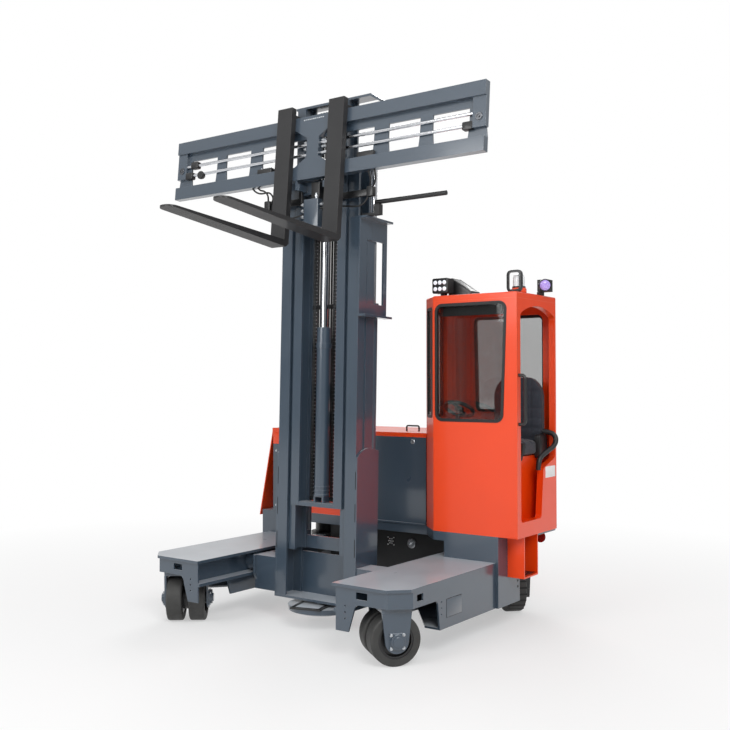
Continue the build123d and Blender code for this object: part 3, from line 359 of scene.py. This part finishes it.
def slab(name, width, height, depth, corner, edge):
    """A plate or housing with its back on z = 0, its corners rounded and its front edges broken."""
    bpy.ops.object.select_all(action="DESELECT")
    bpy.ops.mesh.primitive_cube_add(size=1, location=(0, 0, depth / 2), scale=(width, height, depth))
    piece = started(name)
    if corner:
        pick_edges(piece, lambda a, b: abs(a.z - b.z) > depth / 2)
        bpy.ops.mesh.bevel(offset=corner, segments=3, affect="EDGES")
    pick_edges(piece, lambda a, b: min(a.z, b.z) > depth * 0.99)
    bpy.ops.mesh.bevel(offset=edge, segments=2, affect="EDGES")
    bpy.ops.object.mode_set(mode="OBJECT")
    return piece


def turned(name, rings, sides_round=20):
    """A turned part about z: a disc drawn out from ring to ring, each a height and a radius."""
    bpy.ops.object.select_all(action="DESELECT")
    height, radius = rings[0]
    bpy.ops.mesh.primitive_circle_add(vertices=sides_round, radius=radius, fill_type="NGON",
                                      location=(0, 0, height))
    piece = started(name)
    bpy.ops.mesh.select_all(action="SELECT")
    for next_height, next_radius in rings[1:]:
        bpy.ops.mesh.extrude_region_move(TRANSFORM_OT_translate={"value": (0, 0, next_height - height)})
        share = next_radius / radius
        bpy.ops.transform.resize(value=(share, share, 1), center_override=(0, 0, next_height))
        height, radius = next_height, next_radius
    bpy.ops.mesh.select_all(action="SELECT")
    bpy.ops.mesh.normals_make_consistent(inside=False)
    bpy.ops.object.mode_set(mode="OBJECT")
    return piece


def tube(name, route, radius):
    """A bent tube: a smooth line through the route's points, thickened and closed at its ends."""
    line = bpy.data.curves.new(name, "CURVE")
    line.dimensions = "3D"
    line.bevel_depth = radius
    line.bevel_resolution = 5
    line.use_fill_caps = True
    spline = line.splines.new("NURBS")
    spline.points.add(len(route) - 1)
    for point, spot in zip(spline.points, route):
        point.co = (*spot, 1)
    spline.order_u = 3
    spline.use_endpoint_u = True
    piece = bpy.data.objects.new(name, line)
    scene.collection.objects.link(piece)
    bpy.ops.object.select_all(action="DESELECT")
    piece.select_set(True)
    bpy.context.view_layer.objects.active = piece
    bpy.ops.object.convert(target="MESH")
    return bpy.context.object


def hex_bolt(width):
    """A hexagon head on its washer; the sizes are shares of half the head's nominal width."""
    half = width / 2
    washer_top, washer_radius, head_radius = half * 0.2, half * 1.5, half * 1.1
    washer_rings = [(0, washer_radius), (washer_top, washer_radius), (half * 0.25, half * 1.42)]
    head_rings = [(washer_top, head_radius), (half * 0.95, head_radius), (half * 1.15, half * 0.92)]
    washer = turned("washer", washer_rings, 18)
    head = turned("head", head_rings, 6)
    return joined([head, washer])


def dress(name, pattern, places, finish, body, smooth=35):
    """Copies of the pattern, one at each place, joined as one finished piece that rides on the body."""
    piece = joined(copies_of(pattern, places))
    piece.name = name
    bpy.ops.object.shade_smooth_by_angle(angle=radians(smooth))
    piece.data.materials.clear()
    piece.data.materials.append(finish)
    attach(piece, body)
    return piece


# Load wheels: four bolts round the axle's cap, on both faces of the yoke
load_swivel_x, load_swivel_y, load_axle_height = 0.835, front - 0.905, 0.15
yoke_face = 0.1545                  # from the swivel's middle
bolt_spread = 0.037
for side, name in sides:
    swivel = Vector((side * load_swivel_x, load_swivel_y, load_axle_height))
    axle = Vector((side * 0.788, -0.616, 0)).normalized()
    across = Vector((-axle.y, axle.x, 0))
    bolt_places = []
    for face in (1, -1):
        for along in (-bolt_spread, bolt_spread):
            for up in (-bolt_spread, bolt_spread):
                spot = swivel + face * axle * yoke_face + along * across + Vector((0, 0, up))
                bolt_places.append(placed(spot, face * axle))
    dress(f"axle_bolts_{name}", hex_bolt(0.013), bolt_places, zinc, f"steer_load_{name}")

# Drive tyres: rubber blocks between crosswise grooves, drawn as dark inlays on the tread that paint the shade
# in the grooves
drive_wheel_x, drive_wheel_y, drive_axle_height = 0.83, front + 0.62, 0.17
tread_radius = 0.1692
groove_count = 24
flattened = -0.9                    # grooves that look further down than this lie on the floor
for side, name in sides:
    centre = Vector((side * drive_wheel_x, drive_wheel_y, drive_axle_height))
    axle = Vector((side * 0.689, 0.724, 0)).normalized()
    level = Vector((-axle.y, axle.x, 0))
    groove_places = []
    for i in range(groove_count):
        angle = 2 * pi * (i + 0.5) / groove_count
        out = level * cos(angle) + Vector(upward) * sin(angle)
        turn = Matrix((axle, out.cross(axle), out)).transposed().to_4x4()
        if out.z > flattened:
            groove_places.append(Matrix.Translation(centre + out * tread_radius) @ turn)
    dress(f"tread_grooves_{name}", slab("groove", 0.112, 0.012, 0.0016, 0, 0.0004), groove_places, painted_shade,
          f"wheel_drive_{name}")

# Legs: an access plate on each outer side with a dark sheet round it that paints the shade of its gap, and two
# dark discs in the skirt behind it that paint the shade of two holes
leg_side = 1.04
hatch_width, hatch_height, hatch_gap = 0.176, 0.106, 0.00275
skirt_side = {"right": 1.06, "left": 1.105}
hole_shade_rings = [(0, 0.008), (0.001, 0.008), (0.0014, 0.006)]
for side, name in sides:
    outward = (side, 0, 0)
    hatch_place = placed((side * leg_side, -0.0974, 0.2749), outward)
    # painted shade: the dark sheet behind the hatch stands for the shade in the gap round it
    gap = slab("gap", hatch_width + 2 * hatch_gap, hatch_height + 2 * hatch_gap, 0.0006, 0.004, 0.0002)
    dress(f"hatch_gap_{name}", gap, [hatch_place], painted_shade, "chassis")
    hatch = slab("hatch", hatch_width, hatch_height, 0.0016, 0.003, 0.0006)
    dress(f"leg_hatch_{name}", hatch, [hatch_place], slate, "chassis")
    # painted shade: dark discs where the skirt has holes
    hole_shade_places = [placed((side * skirt_side[name], 0.694, z), outward) for z in (0.296, 0.258)]
    dress(f"skirt_hole_shades_{name}", turned("hole_shade", hole_shade_rings), hole_shade_places, painted_shade, "chassis")

# Chassis front: vent studs, a round cap, the lock of the service panel and the bolts of the left panel
vent_x, vent_z = 0.017, 0.455
cap_x = 0.201
stud_rings = ((0, 1, 0), (0.018, 6, 0), (0.037, 4, 45))     # radius, number and first angle of the studs
stud_places = []
for radius, count, first in stud_rings:
    for i in range(count):
        angle = radians(first + 360 * i / count)
        spot = (vent_x + radius * cos(angle), tray_front, vent_z + radius * sin(angle))
        stud_places.append(placed(spot, ahead))
dress("vent_studs", turned("stud", [(0, 0.0045), (0.0025, 0.0045), (0.0035, 0.003)], 10), stud_places,
      bare_plate, "chassis")
cap = turned("cap", [(0, 0.034), (0.012, 0.034), (0.016, 0.03), (0.016, 0.02), (0.011, 0.018),
                     (0.011, 0.009), (0.02, 0.008), (0.021, 0.006)], 28)
dress("tank_cap", cap, [placed((cap_x, tray_front, vent_z), ahead)], zinc, "chassis")
lock = turned("lock", [(0, 0.017), (0.003, 0.017), (0.005, 0.015), (0.005, 0.009), (0.0025, 0.008)], 24)
dress("panel_lock", lock, [placed((0.3095, panel_front, 1.198), ahead)], zinc, "chassis")
panel_bolts = [(-0.965, 1.083), (-0.94, 1.07), (-0.965, 0.66), (-0.88, 0.66)]       # x and z of each
dress("panel_bolts", hex_bolt(0.012), [placed((x, panel_front, z), ahead) for x, z in panel_bolts],
      zinc, "chassis")
dress("cover_return", slab("return", 0.143, 0.093, 0.004, 0.004, 0.0015),
      [placed((-0.9235, panel_front, 1.1835), ahead)], orange, "chassis")

# Back: cooling slots in the cover, drawn as dark slabs that paint the shade inside them, and a lamp at each
# end of the skirt
slot_rows, slot_pitch, lowest_slot = 7, 0.032, 0.86
slot_places = [placed((x, rear, lowest_slot + slot_pitch * i), astern) for x in (-0.72, 0.14)
               for i in range(slot_rows)]
dress("cooling_slots", slab("slot", 0.26, 0.013, 0.0016, 0.005, 0.0005), slot_places, painted_shade, "chassis")
tail_lamp = turned("tail", [(0, 0.042), (0.003, 0.042), (0.005, 0.037), (0.005, 0.031),
                            (0.0075, 0.026), (0.0085, 0.012)], 28)
dress("tail_lamps", tail_lamp, [placed((x, rear, 0.5), astern) for x in (-0.98, 0.94)], red_lens, "chassis")

# Mast: a row of weld gaps beside each cheek, drawn as dark strips that paint the shade in them
gap_x = 0.329
gap_heights = (0.9825, 0.775, 0.549)
gap_places = [mast_frame @ at(side * gap_x, 0, height - foot_height) @ placed((0, 0, 0), ahead)
              for side in (1, -1) for height in gap_heights]
dress("cheek_gaps", slab("gap", 0.005, 0.116, 0.0009, 0.0015, 0.0003), gap_places, painted_shade, "reach")

# A flat frame and its plate on the pan, in front of the mast's foot
frame_width, frame_length, frame_thick = 0.215, 0.2, 0.012
frame_rim, frame_sunk = 0.02, 0.008
frame_place = at(0.014, -0.199, 0.146) @ Matrix.Rotation(radians(16), 4, "Z")
rim = slab("pan_frame", frame_width, frame_length, frame_thick, 0.004, 0.002)
bpy.ops.object.mode_set(mode="EDIT")
pick_faces(rim, lambda normal: normal.z > 0.99)
bpy.ops.mesh.inset(thickness=frame_rim)
bpy.ops.mesh.extrude_region_move(TRANSFORM_OT_translate={"value": (0, 0, -frame_sunk)})
bpy.ops.object.mode_set(mode="OBJECT")
dress("pan_frame", rim, [frame_place], black_paint, "reach")
dress("pan_plate", slab("plate", 0.172, 0.157, 0.004, 0.002, 0.001),
      [frame_place @ at(0, 0, frame_thick - frame_sunk)], slate, "reach")

# Lift chains: leaf chain links on their pins, two strands behind the free lift cylinder
chain_pitch, chain_links, chain_foot = 0.0254, 100, 0.66
chain_y = 0.127
plate_offset = 0.008                # outer plates beside the middle one, which sits half a pitch lower
link = slab("link", 0.0035, 0.019, 0.031, 0.0015, 0.001)
plate_places = [at(-plate_offset, 0, 0), at(plate_offset, 0, 0), at(0, 0, -chain_pitch / 2)]
strands = [mast_frame @ at(x, chain_y, chain_foot + chain_pitch * i) for x in (-0.131, 0.036)
           for i in range(chain_links)]
dress("lift_chains", joined(copies_of(link, plate_places)), strands, chain, "inner_mast")
pin = turned("pin", [(-0.0115, 0.0045), (0.0115, 0.0045), (0.013, 0.003)], 8)
pin_in_link = at(0, 0, 0.009) @ Matrix.Rotation(pi / 2, 4, "Y")
dress("chain_pins", pin, [place @ pin_in_link for place in strands], zinc, "inner_mast")

# Hose package behind the cylinder: six hoses side by side under three clamps on the inner rails
package_hoses, hose_spacing, first_hose_x = 6, 0.023, -0.108
package_y, hose_sway = 0.129, 0.002
for number in range(package_hoses):
    name = f"mast_hose_{number + 1}"
    x = first_hose_x + hose_spacing * number
    route = [(x, package_y, 0.62), (x + hose_sway, package_y, 1.5), (x - hose_sway, package_y, 2.4),
             (x, package_y, 3.3)]
    dress(name, tube(name, route, 0.008), [mast_frame], rubber, "inner_mast", 80)
dress("hose_package_clamps", slab("clamp", 0.31, 0.03, 0.015, 0.004, 0.002),
      [mast_frame @ placed((0, 0.134, z), ahead) for z in (0.65, 1.95, 3.28)], black_paint, "inner_mast")

# Fork frame: end screws, and stops with a knob on the positioner rods
end_screw = turned("end_screw", [(0, 0.024), (0.004, 0.024), (0.006, 0.022), (0.006, 0.015), (0.003, 0.014),
                                 (0.003, 0.008), (0.008, 0.007), (0.009, 0.005)], 24)
dress("end_screws", end_screw, [fork_face @ at(side * 1.258, 0, 0.013) for side in (1, -1)],
      steel, "tilt_frame")
knob = turned("knob", [(-0.012, 0.024), (0.004, 0.03), (0.016, 0.03), (0.022, 0.026), (0.022, 0.01)])
dress("rod_knobs", knob, [fork_face @ at(-1.06, -0.052, 0)], black_paint, "tilt_frame")
rod_stops = [(-1.18, -0.045), (-1.13, 0.03), (1.18, -0.045)]        # x and y of each, on the frame's face
dress("rod_stops", slab("stop", 0.07, 0.05, 0.036, 0.008, 0.004),
      [fork_face @ at(x, y, -0.018) for x, y in rod_stops], black_paint, "tilt_frame")

# Fork frame: ports in the middle openings, valves and ports on the lower beam, studs on the middle plate
union_rings = [(0, 0.009), (0.012, 0.009), (0.013, 0.013), (0.026, 0.013), (0.027, 0.008), (0.038, 0.008),
               (0.040, 0.005)]
port_places = [placed((side * 0.055, y, -0.004), (side, 0, 0)) for side in (1, -1)
               for y in (-0.045, 0.0, 0.045)]
port_places += [placed((side * x, -0.122, 0.0), (0, 1, 0)) for side in (1, -1) for x in (0.385, 0.425, 0.465)]
dress("port_unions", turned("union", union_rings, 12), [fork_face @ place for place in port_places], zinc,
      "tilt_frame")
dress("valve_blocks", slab("valve", 0.13, 0.045, 0.036, 0.005, 0.003),
      [fork_face @ at(side * 0.43, -0.112, -0.02) for side in (1, -1)], black_paint, "tilt_frame")
plate_studs, plate_stud_pitch = 11, 0.016
dress("middle_plate_studs", turned("stud", [(0, 0.005), (0.003, 0.005), (0.004, 0.003)], 8),
      [fork_face @ at(-0.08 + plate_stud_pitch * i, 0.192, 0.025) for i in range(plate_studs)],
      zinc, "tilt_frame")

# Under the fork frame: a steel manifold with its unions
manifold_x, manifold_y = 0.01, -0.155
dress("manifold", slab("manifold", 0.12, 0.19, 0.05, 0.006, 0.004),
      [placed((manifold_x, manifold_y, 2.735), ahead)], slate, "carriage")
dress("manifold_hanger", slab("hanger", 0.07, 0.16, 0.053, 0.006, 0.003),
      [placed((manifold_x, -0.102, 2.87), ahead)], black_paint, "carriage")
union_y = -0.18
union_places = [placed((-0.05, union_y, z), (-1, 0, 0)) for z in (2.68, 2.72, 2.76, 2.80)]
union_places += [placed((0.04, union_y, 2.83)), placed((0.07, union_y, 2.79), (1, 0, 0))]
dress("manifold_unions", turned("union", union_rings, 12), union_places, zinc, "carriage")

# Brackets that carry the hoses out to both sides: name, pattern, distance from the middle, y and height
hose_carriers = [
    ("hose_brackets", slab("bracket", 0.32, 0.045, 0.012, 0.006, 0.003), 0.3, -0.108, 2.84),
    ("bracket_lugs", slab("lug", 0.03, 0.13, 0.018, 0.006, 0.003), 0.15, -0.102, 2.875),
    ("hose_clamps", slab("clamp", 0.05, 0.066, 0.036, 0.008, 0.004), 0.44, -0.1, 2.842),
]
for name, pattern, aside, y, z in hose_carriers:
    dress(name, pattern, [placed((side * aside, y, z), ahead) for side in (1, -1)], black_paint, "carriage")

# Hydraulic hoses: four short loops from the lower beam into the clamps, two from the clamps to the manifold
hose_radius = 0.006
hose_routes = {
    "hose_left_outer": [(-0.55, -0.165, 2.975), (-0.53, -0.16, 2.945), (-0.48, -0.15, 2.925),
                        (-0.415, -0.14, 2.935), (-0.385, -0.13, 2.9), (-0.395, -0.125, 2.865),
                        (-0.43, -0.12, 2.845)],
    "hose_left_inner": [(-0.5, -0.165, 2.975), (-0.485, -0.16, 2.95), (-0.45, -0.15, 2.945),
                        (-0.425, -0.14, 2.915), (-0.43, -0.13, 2.88), (-0.44, -0.12, 2.86)],
    "hose_right_outer": [(0.50, -0.165, 2.975), (0.505, -0.16, 2.94), (0.5, -0.15, 2.9), (0.47, -0.135, 2.87),
                         (0.445, -0.12, 2.85)],
    "hose_right_inner": [(0.45, -0.165, 2.975), (0.458, -0.16, 2.94), (0.46, -0.15, 2.91),
                         (0.445, -0.135, 2.885), (0.43, -0.12, 2.86)],
    "hose_cross_right": [(0.415, -0.112, 2.82), (0.39, -0.115, 2.77), (0.33, -0.12, 2.755),
                         (0.25, -0.13, 2.765), (0.16, -0.15, 2.775), (0.072, -0.18, 2.765)],
    "hose_cross_left": [(-0.415, -0.112, 2.82), (-0.38, -0.115, 2.775), (-0.3, -0.12, 2.74),
                        (-0.2, -0.135, 2.73), (-0.12, -0.16, 2.735), (-0.052, -0.18, 2.735)],
}
for name, route in hose_routes.items():
    dress(name, tube(name, route, hose_radius), [Matrix()], rubber, "carriage", 80)

# Roof: a work lamp with six diodes
work_lamp_x, work_lamp_z = 0.56, 2.28
dress("work_lamp_bezel", slab("bezel", 0.126, 0.106, 0.014, 0.012, 0.004),
      [placed((work_lamp_x, front + 0.12, work_lamp_z), ahead)], black_paint, "chassis")
diode = turned("diode", [(0, 0.0145), (0.004, 0.0145), (0.005, 0.011), (0.0065, 0.006)], 16)
diode_places = [placed((work_lamp_x + x, front + 0.107, work_lamp_z + z), ahead)
                for x in (-0.036, 0, 0.036) for z in (-0.022, 0.022)]
dress("work_lamp_diodes", diode, diode_places, lit_diode, "chassis")

# Roof: the unit behind the work lamp, a box whose right side slopes down and whose left side leans in
unit_end, unit_upper = 0.07, 0.1
unit = slab("roof_unit", 0.19, 0.13, 0.14, 0.012, 0.008)
bpy.ops.object.mode_set(mode="EDIT")
pick_edges(unit, lambda a, b: min(a.x, b.x) > unit_end and min(a.z, b.z) > unit_upper)
bpy.ops.transform.translate(value=(0, 0, -0.095))
pick_edges(unit, lambda a, b: max(a.x, b.x) < -unit_end and min(a.z, b.z) > unit_upper)
bpy.ops.transform.translate(value=(0.02, 0, 0.0))
bpy.ops.object.mode_set(mode="OBJECT")
dress("roof_unit", unit, [at(0.655, front + 0.27, roof_height)], black_paint, "chassis")

# Roof: a beacon in its guard
beacon_x, beacon_y = 1.15, front + 0.13
dress("beacon_base", turned("base", [(0, 0.05), (0.022, 0.05), (0.03, 0.046), (0.03, 0.04)], 28),
      [placed((beacon_x, beacon_y, roof_height))], orange, "chassis")
dress("beacon_lens", turned("lens", [(0, 0.038), (0.06, 0.038), (0.078, 0.032), (0.086, 0.018)], 28),
      [placed((beacon_x, beacon_y, roof_height + 0.038))], clear_lens, "chassis")
guard = slab("guard", 0.11, 0.145, 0.02, 0.03, 0.004)
bpy.ops.object.mode_set(mode="EDIT")
pick_faces(guard, lambda normal: abs(normal.z) > 0.99)
bpy.ops.mesh.inset(thickness=0.014)
bpy.ops.mesh.bridge_edge_loops()
bpy.ops.object.mode_set(mode="OBJECT")
guard_place = placed((beacon_x, beacon_y - 0.05, roof_height + 0.0725), ahead) @ Matrix.Rotation(pi, 4, "Z")
dress("beacon_guard", guard, [guard_place], black_paint, "chassis")

# Roof: a spot lamp that looks ahead, to the right and a little down
spot_way = (0.55, -0.8, -0.1)
shell = turned("shell", [(0, 0.03), (0.03, 0.043), (0.05, 0.043), (0.052, 0.038), (0.044, 0.036)], 24)
dress("spot_shell", shell, [placed((1.205, front + 0.39, 2.268), spot_way)], black_paint, "chassis")
dress("spot_lens", turned("lens", [(0, 0.035), (0.006, 0.035), (0.012, 0.028), (0.015, 0.014)], 24),
      [placed((1.229, front + 0.355, 2.2635), spot_way)], violet_lens, "chassis")

# Cab side: a bare plate below the seat and ribs on the step
cab_side = 1.2
dress("side_plate", slab("plate", 0.15, 0.075, 0.0012, 0.004, 0.0004),
      [placed((cab_side, 0.905, 1.012), (1, 0, 0))], bare_plate, "chassis")
rib_count, rib_pitch = 9, 0.02
dress("step_tread", slab("rib", 0.1, 0.006, 0.0025, 0, 0.001),
      [placed((1.12, 0.57 + rib_pitch * i, 0.358)) for i in range(rib_count)], black_paint, "chassis")

# Seat: the armrest that leans out of the doorway, a lever and the hinge of the back
arm_route = [(1.13, 0.94, 1.28), (1.19, 0.95, 1.275), (1.225, 0.95, 1.24), (1.225, 0.93, 1.19),
             (1.2, 0.86, 1.15), (1.185, 0.79, 1.12), (1.18, 0.765, 1.08), (1.18, 0.76, 1.03)]
dress("armrest", tube("arm", arm_route, 0.017), [Matrix()], plastic, "chassis")
lever = turned("lever", [(0, 0.013), (0.03, 0.013), (0.05, 0.02), (0.1, 0.022), (0.115, 0.014)], 14)
dress("seat_lever", lever, [placed((1.1, 0.66, 1.1), (0.3, -0.2, 1))], plastic, "chassis")
dress("seat_hinge", slab("hinge", 0.12, 0.16, 0.04, 0.02, 0.008), [placed((1.1, 0.93, 1.18), (1, 0, 0))],
      plastic, "chassis")

# Seat pads: shares of half a pad's size, except for the cuts and the power
pad_cuts = 40
corner_power = 5                    # of the rounded box that the pad starts from
crown_share = 0.28                  # how much of the thickness is the crown
drawn_in = 0.035                    # how far the sides draw in at their middle
seam_depth, seam_width = 0.13, 0.035
seam_foot = -0.3                    # seams are sewn in above this, towards the crowned side
shoulder, shoulder_draw = 0.45, 0.3     # the back narrows from this height on, by this much at the top


def pad(name, node, low, high, thin, seams):
    """A stuffed pad in the box of its CAD solid: crowned, drawn in between its corners, with sewn channels.
    thin is the axis it is thin along and its crowned side; seams are (axis, place from -1 to 1)."""
    bpy.ops.object.select_all(action="DESELECT")
    bpy.ops.mesh.primitive_cube_add(size=2, location=(0, 0, 0))
    piece = started(name)
    bpy.ops.mesh.select_all(action="SELECT")
    bpy.ops.mesh.subdivide(number_cuts=pad_cuts)
    bpy.ops.object.mode_set(mode="OBJECT")
    axis, side = thin
    wide, deep = [i for i in range(3) if i != axis]
    middle = (Vector(low) + Vector(high)) / 2
    half = (Vector(high) - Vector(low)) / 2
    for vertex in piece.data.vertices:
        reach = sum(abs(part) ** corner_power for part in vertex.co) ** (-1 / corner_power)
        spot = vertex.co * reach
        a, b = spot[wide], spot[deep]
        crown = (1 - a * a) * (1 - b * b) if spot[axis] * side > 0 else -1
        spot[axis] = spot[axis] * (1 - crown_share) + side * crown_share * crown
        spot[wide] = a * (1 - drawn_in * (1 - b * b))
        spot[deep] = b * (1 - drawn_in * (1 - a * a))
        if node == "seat_back":
            rise = max(0, (spot.z - shoulder) / (1 - shoulder))
            spot.x *= 1 - shoulder_draw * rise * rise
        if spot[axis] * side > seam_foot:
            for way, line in seams:
                spot[axis] -= side * seam_depth * exp(-((spot[way] - line) / seam_width) ** 2)
        vertex.co = middle + Vector(part * extent for part, extent in zip(spot, half))
    smooth = piece.modifiers.new("smooth", "SUBSURF")
    smooth.levels = smooth.render_levels = 1
    bpy.ops.object.modifier_apply(modifier="smooth")
    finished = dress(name, piece, [Matrix()], seat_cloth, "chassis", 80)
    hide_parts(node)


pad("seat_cushion_pad", "seat_cushion", (0.737, 0.573, 1.121), (1.118, 0.929, 1.239), (2, 1),
    [(0, -0.55), (0, 0.55), (1, -0.25), (1, 0.3)])
pad("seat_back_pad", "seat_back", (0.737, 0.932, 1.131), (1.118, 1.018, 1.659), (1, -1),
    [(0, -0.58), (0, 0.0), (0, 0.58), (2, -0.62), (2, -0.36), (2, -0.1), (2, 0.16), (2, 0.6)])


# A pale floor that takes a soft shadow near the truck and fades into the white background
half_floor = 40
fade_from, fade_to = 1.5, 5.5
floor_mesh = bpy.data.meshes.new("floor")
floor_mesh.from_pydata([(-half_floor, -half_floor, 0), (half_floor, -half_floor, 0),
                        (half_floor, half_floor, 0), (-half_floor, half_floor, 0)], [], [(0, 1, 2, 3)])
floor = bpy.data.objects.new("floor", floor_mesh)
scene.collection.objects.link(floor)
floor_paint = bpy.data.materials.new("floor_paint")
floor_paint.use_nodes = True
tree = floor_paint.node_tree
tree.nodes.clear()
matt = add(tree, "ShaderNodeBsdfDiffuse", inputs={"Color": colour("#f7f7f7")}).outputs["BSDF"]
white = add(tree, "ShaderNodeEmission", inputs={"Color": (1, 1, 1, 1), "Strength": 1.0}).outputs["Emission"]
ground = add(tree, "ShaderNodeTexCoord").outputs["Object"]
away = add(tree, "ShaderNodeVectorMath", {"operation": "LENGTH"}, {0: ground}).outputs["Value"]
fade = add(tree, "ShaderNodeMapRange", inputs={"Value": away, "From Min": fade_from, "From Max": fade_to,
                                               "To Min": 0.45, "To Max": 1.0}).outputs["Result"]
path = add(tree, "ShaderNodeLightPath").outputs
seen = add(tree, "ShaderNodeMath", {"operation": "MAXIMUM"},
           {0: path["Is Camera Ray"], 1: path["Is Glossy Ray"]}).outputs["Value"]
seen = add(tree, "ShaderNodeMath", {"operation": "MAXIMUM"},
           {0: seen, 1: path["Is Transmission Ray"]}).outputs["Value"]
share = add(tree, "ShaderNodeMath", {"operation": "MULTIPLY"}, {0: fade, 1: seen}).outputs["Value"]
mixed = add(tree, "ShaderNodeMixShader", inputs={0: share, 1: matt, 2: white}).outputs["Shader"]
add(tree, "ShaderNodeOutputMaterial", inputs={"Surface": mixed})
floor_mesh.materials.append(floor_paint)

# A white hall: full white to the eye, dimmer as the light on matt faces
hall_light = 0.42
world = bpy.data.worlds.new("studio")
world.use_nodes = True
scene.world = world
tree = world.node_tree
tree.nodes.clear()
path = add(tree, "ShaderNodeLightPath").outputs
seen = add(tree, "ShaderNodeMath", {"operation": "MAXIMUM"},
           {0: path["Is Camera Ray"], 1: path["Is Transmission Ray"]}).outputs["Value"]
plain = add(tree, "ShaderNodeMapRange", inputs={"Value": seen, "To Min": hall_light, "To Max": 1.0})
# gloss sees walls that are darker near the ground than above
toward = add(tree, "ShaderNodeTexCoord").outputs["Generated"]
height = add(tree, "ShaderNodeSeparateXYZ", inputs={0: toward}).outputs["Z"]
wall = add(tree, "ShaderNodeMapRange", inputs={"Value": height, "From Min": 0.06, "From Max": 0.4,
                                               "To Min": 0.12, "To Max": 1.0}).outputs["Result"]
level = add(tree, "ShaderNodeMix", {"data_type": "FLOAT"},
            {0: path["Is Glossy Ray"], 2: plain.outputs["Result"], 3: wall}).outputs[0]
back = add(tree, "ShaderNodeBackground", inputs={"Color": (1, 1, 1, 1), "Strength": level})
add(tree, "ShaderNodeOutputWorld", inputs={"Surface": back.outputs["Background"]})

# name, place, size, power in watts; each lamp faces the middle of the truck
lamps = [
    ("key_lamp", (6.5, -5.0, 6.5), 4.0, 420),
    ("front_lamp", (-1.5, -8.0, 4.5), 4.0, 260),
    ("back_lamp", (-4.0, 7.0, 6.0), 4.0, 260),
]
truck_middle = Vector((0.1, 0.1, 1.4))
for name, place, size, power in lamps:
    light = bpy.data.lights.new(name, "AREA")
    light.size = size
    light.energy = power
    lamp = bpy.data.objects.new(name, light)
    lamp.location = place
    lamp.rotation_euler = (truck_middle - Vector(place)).to_track_quat("-Z", "Y").to_euler()
    scene.collection.objects.link(lamp)
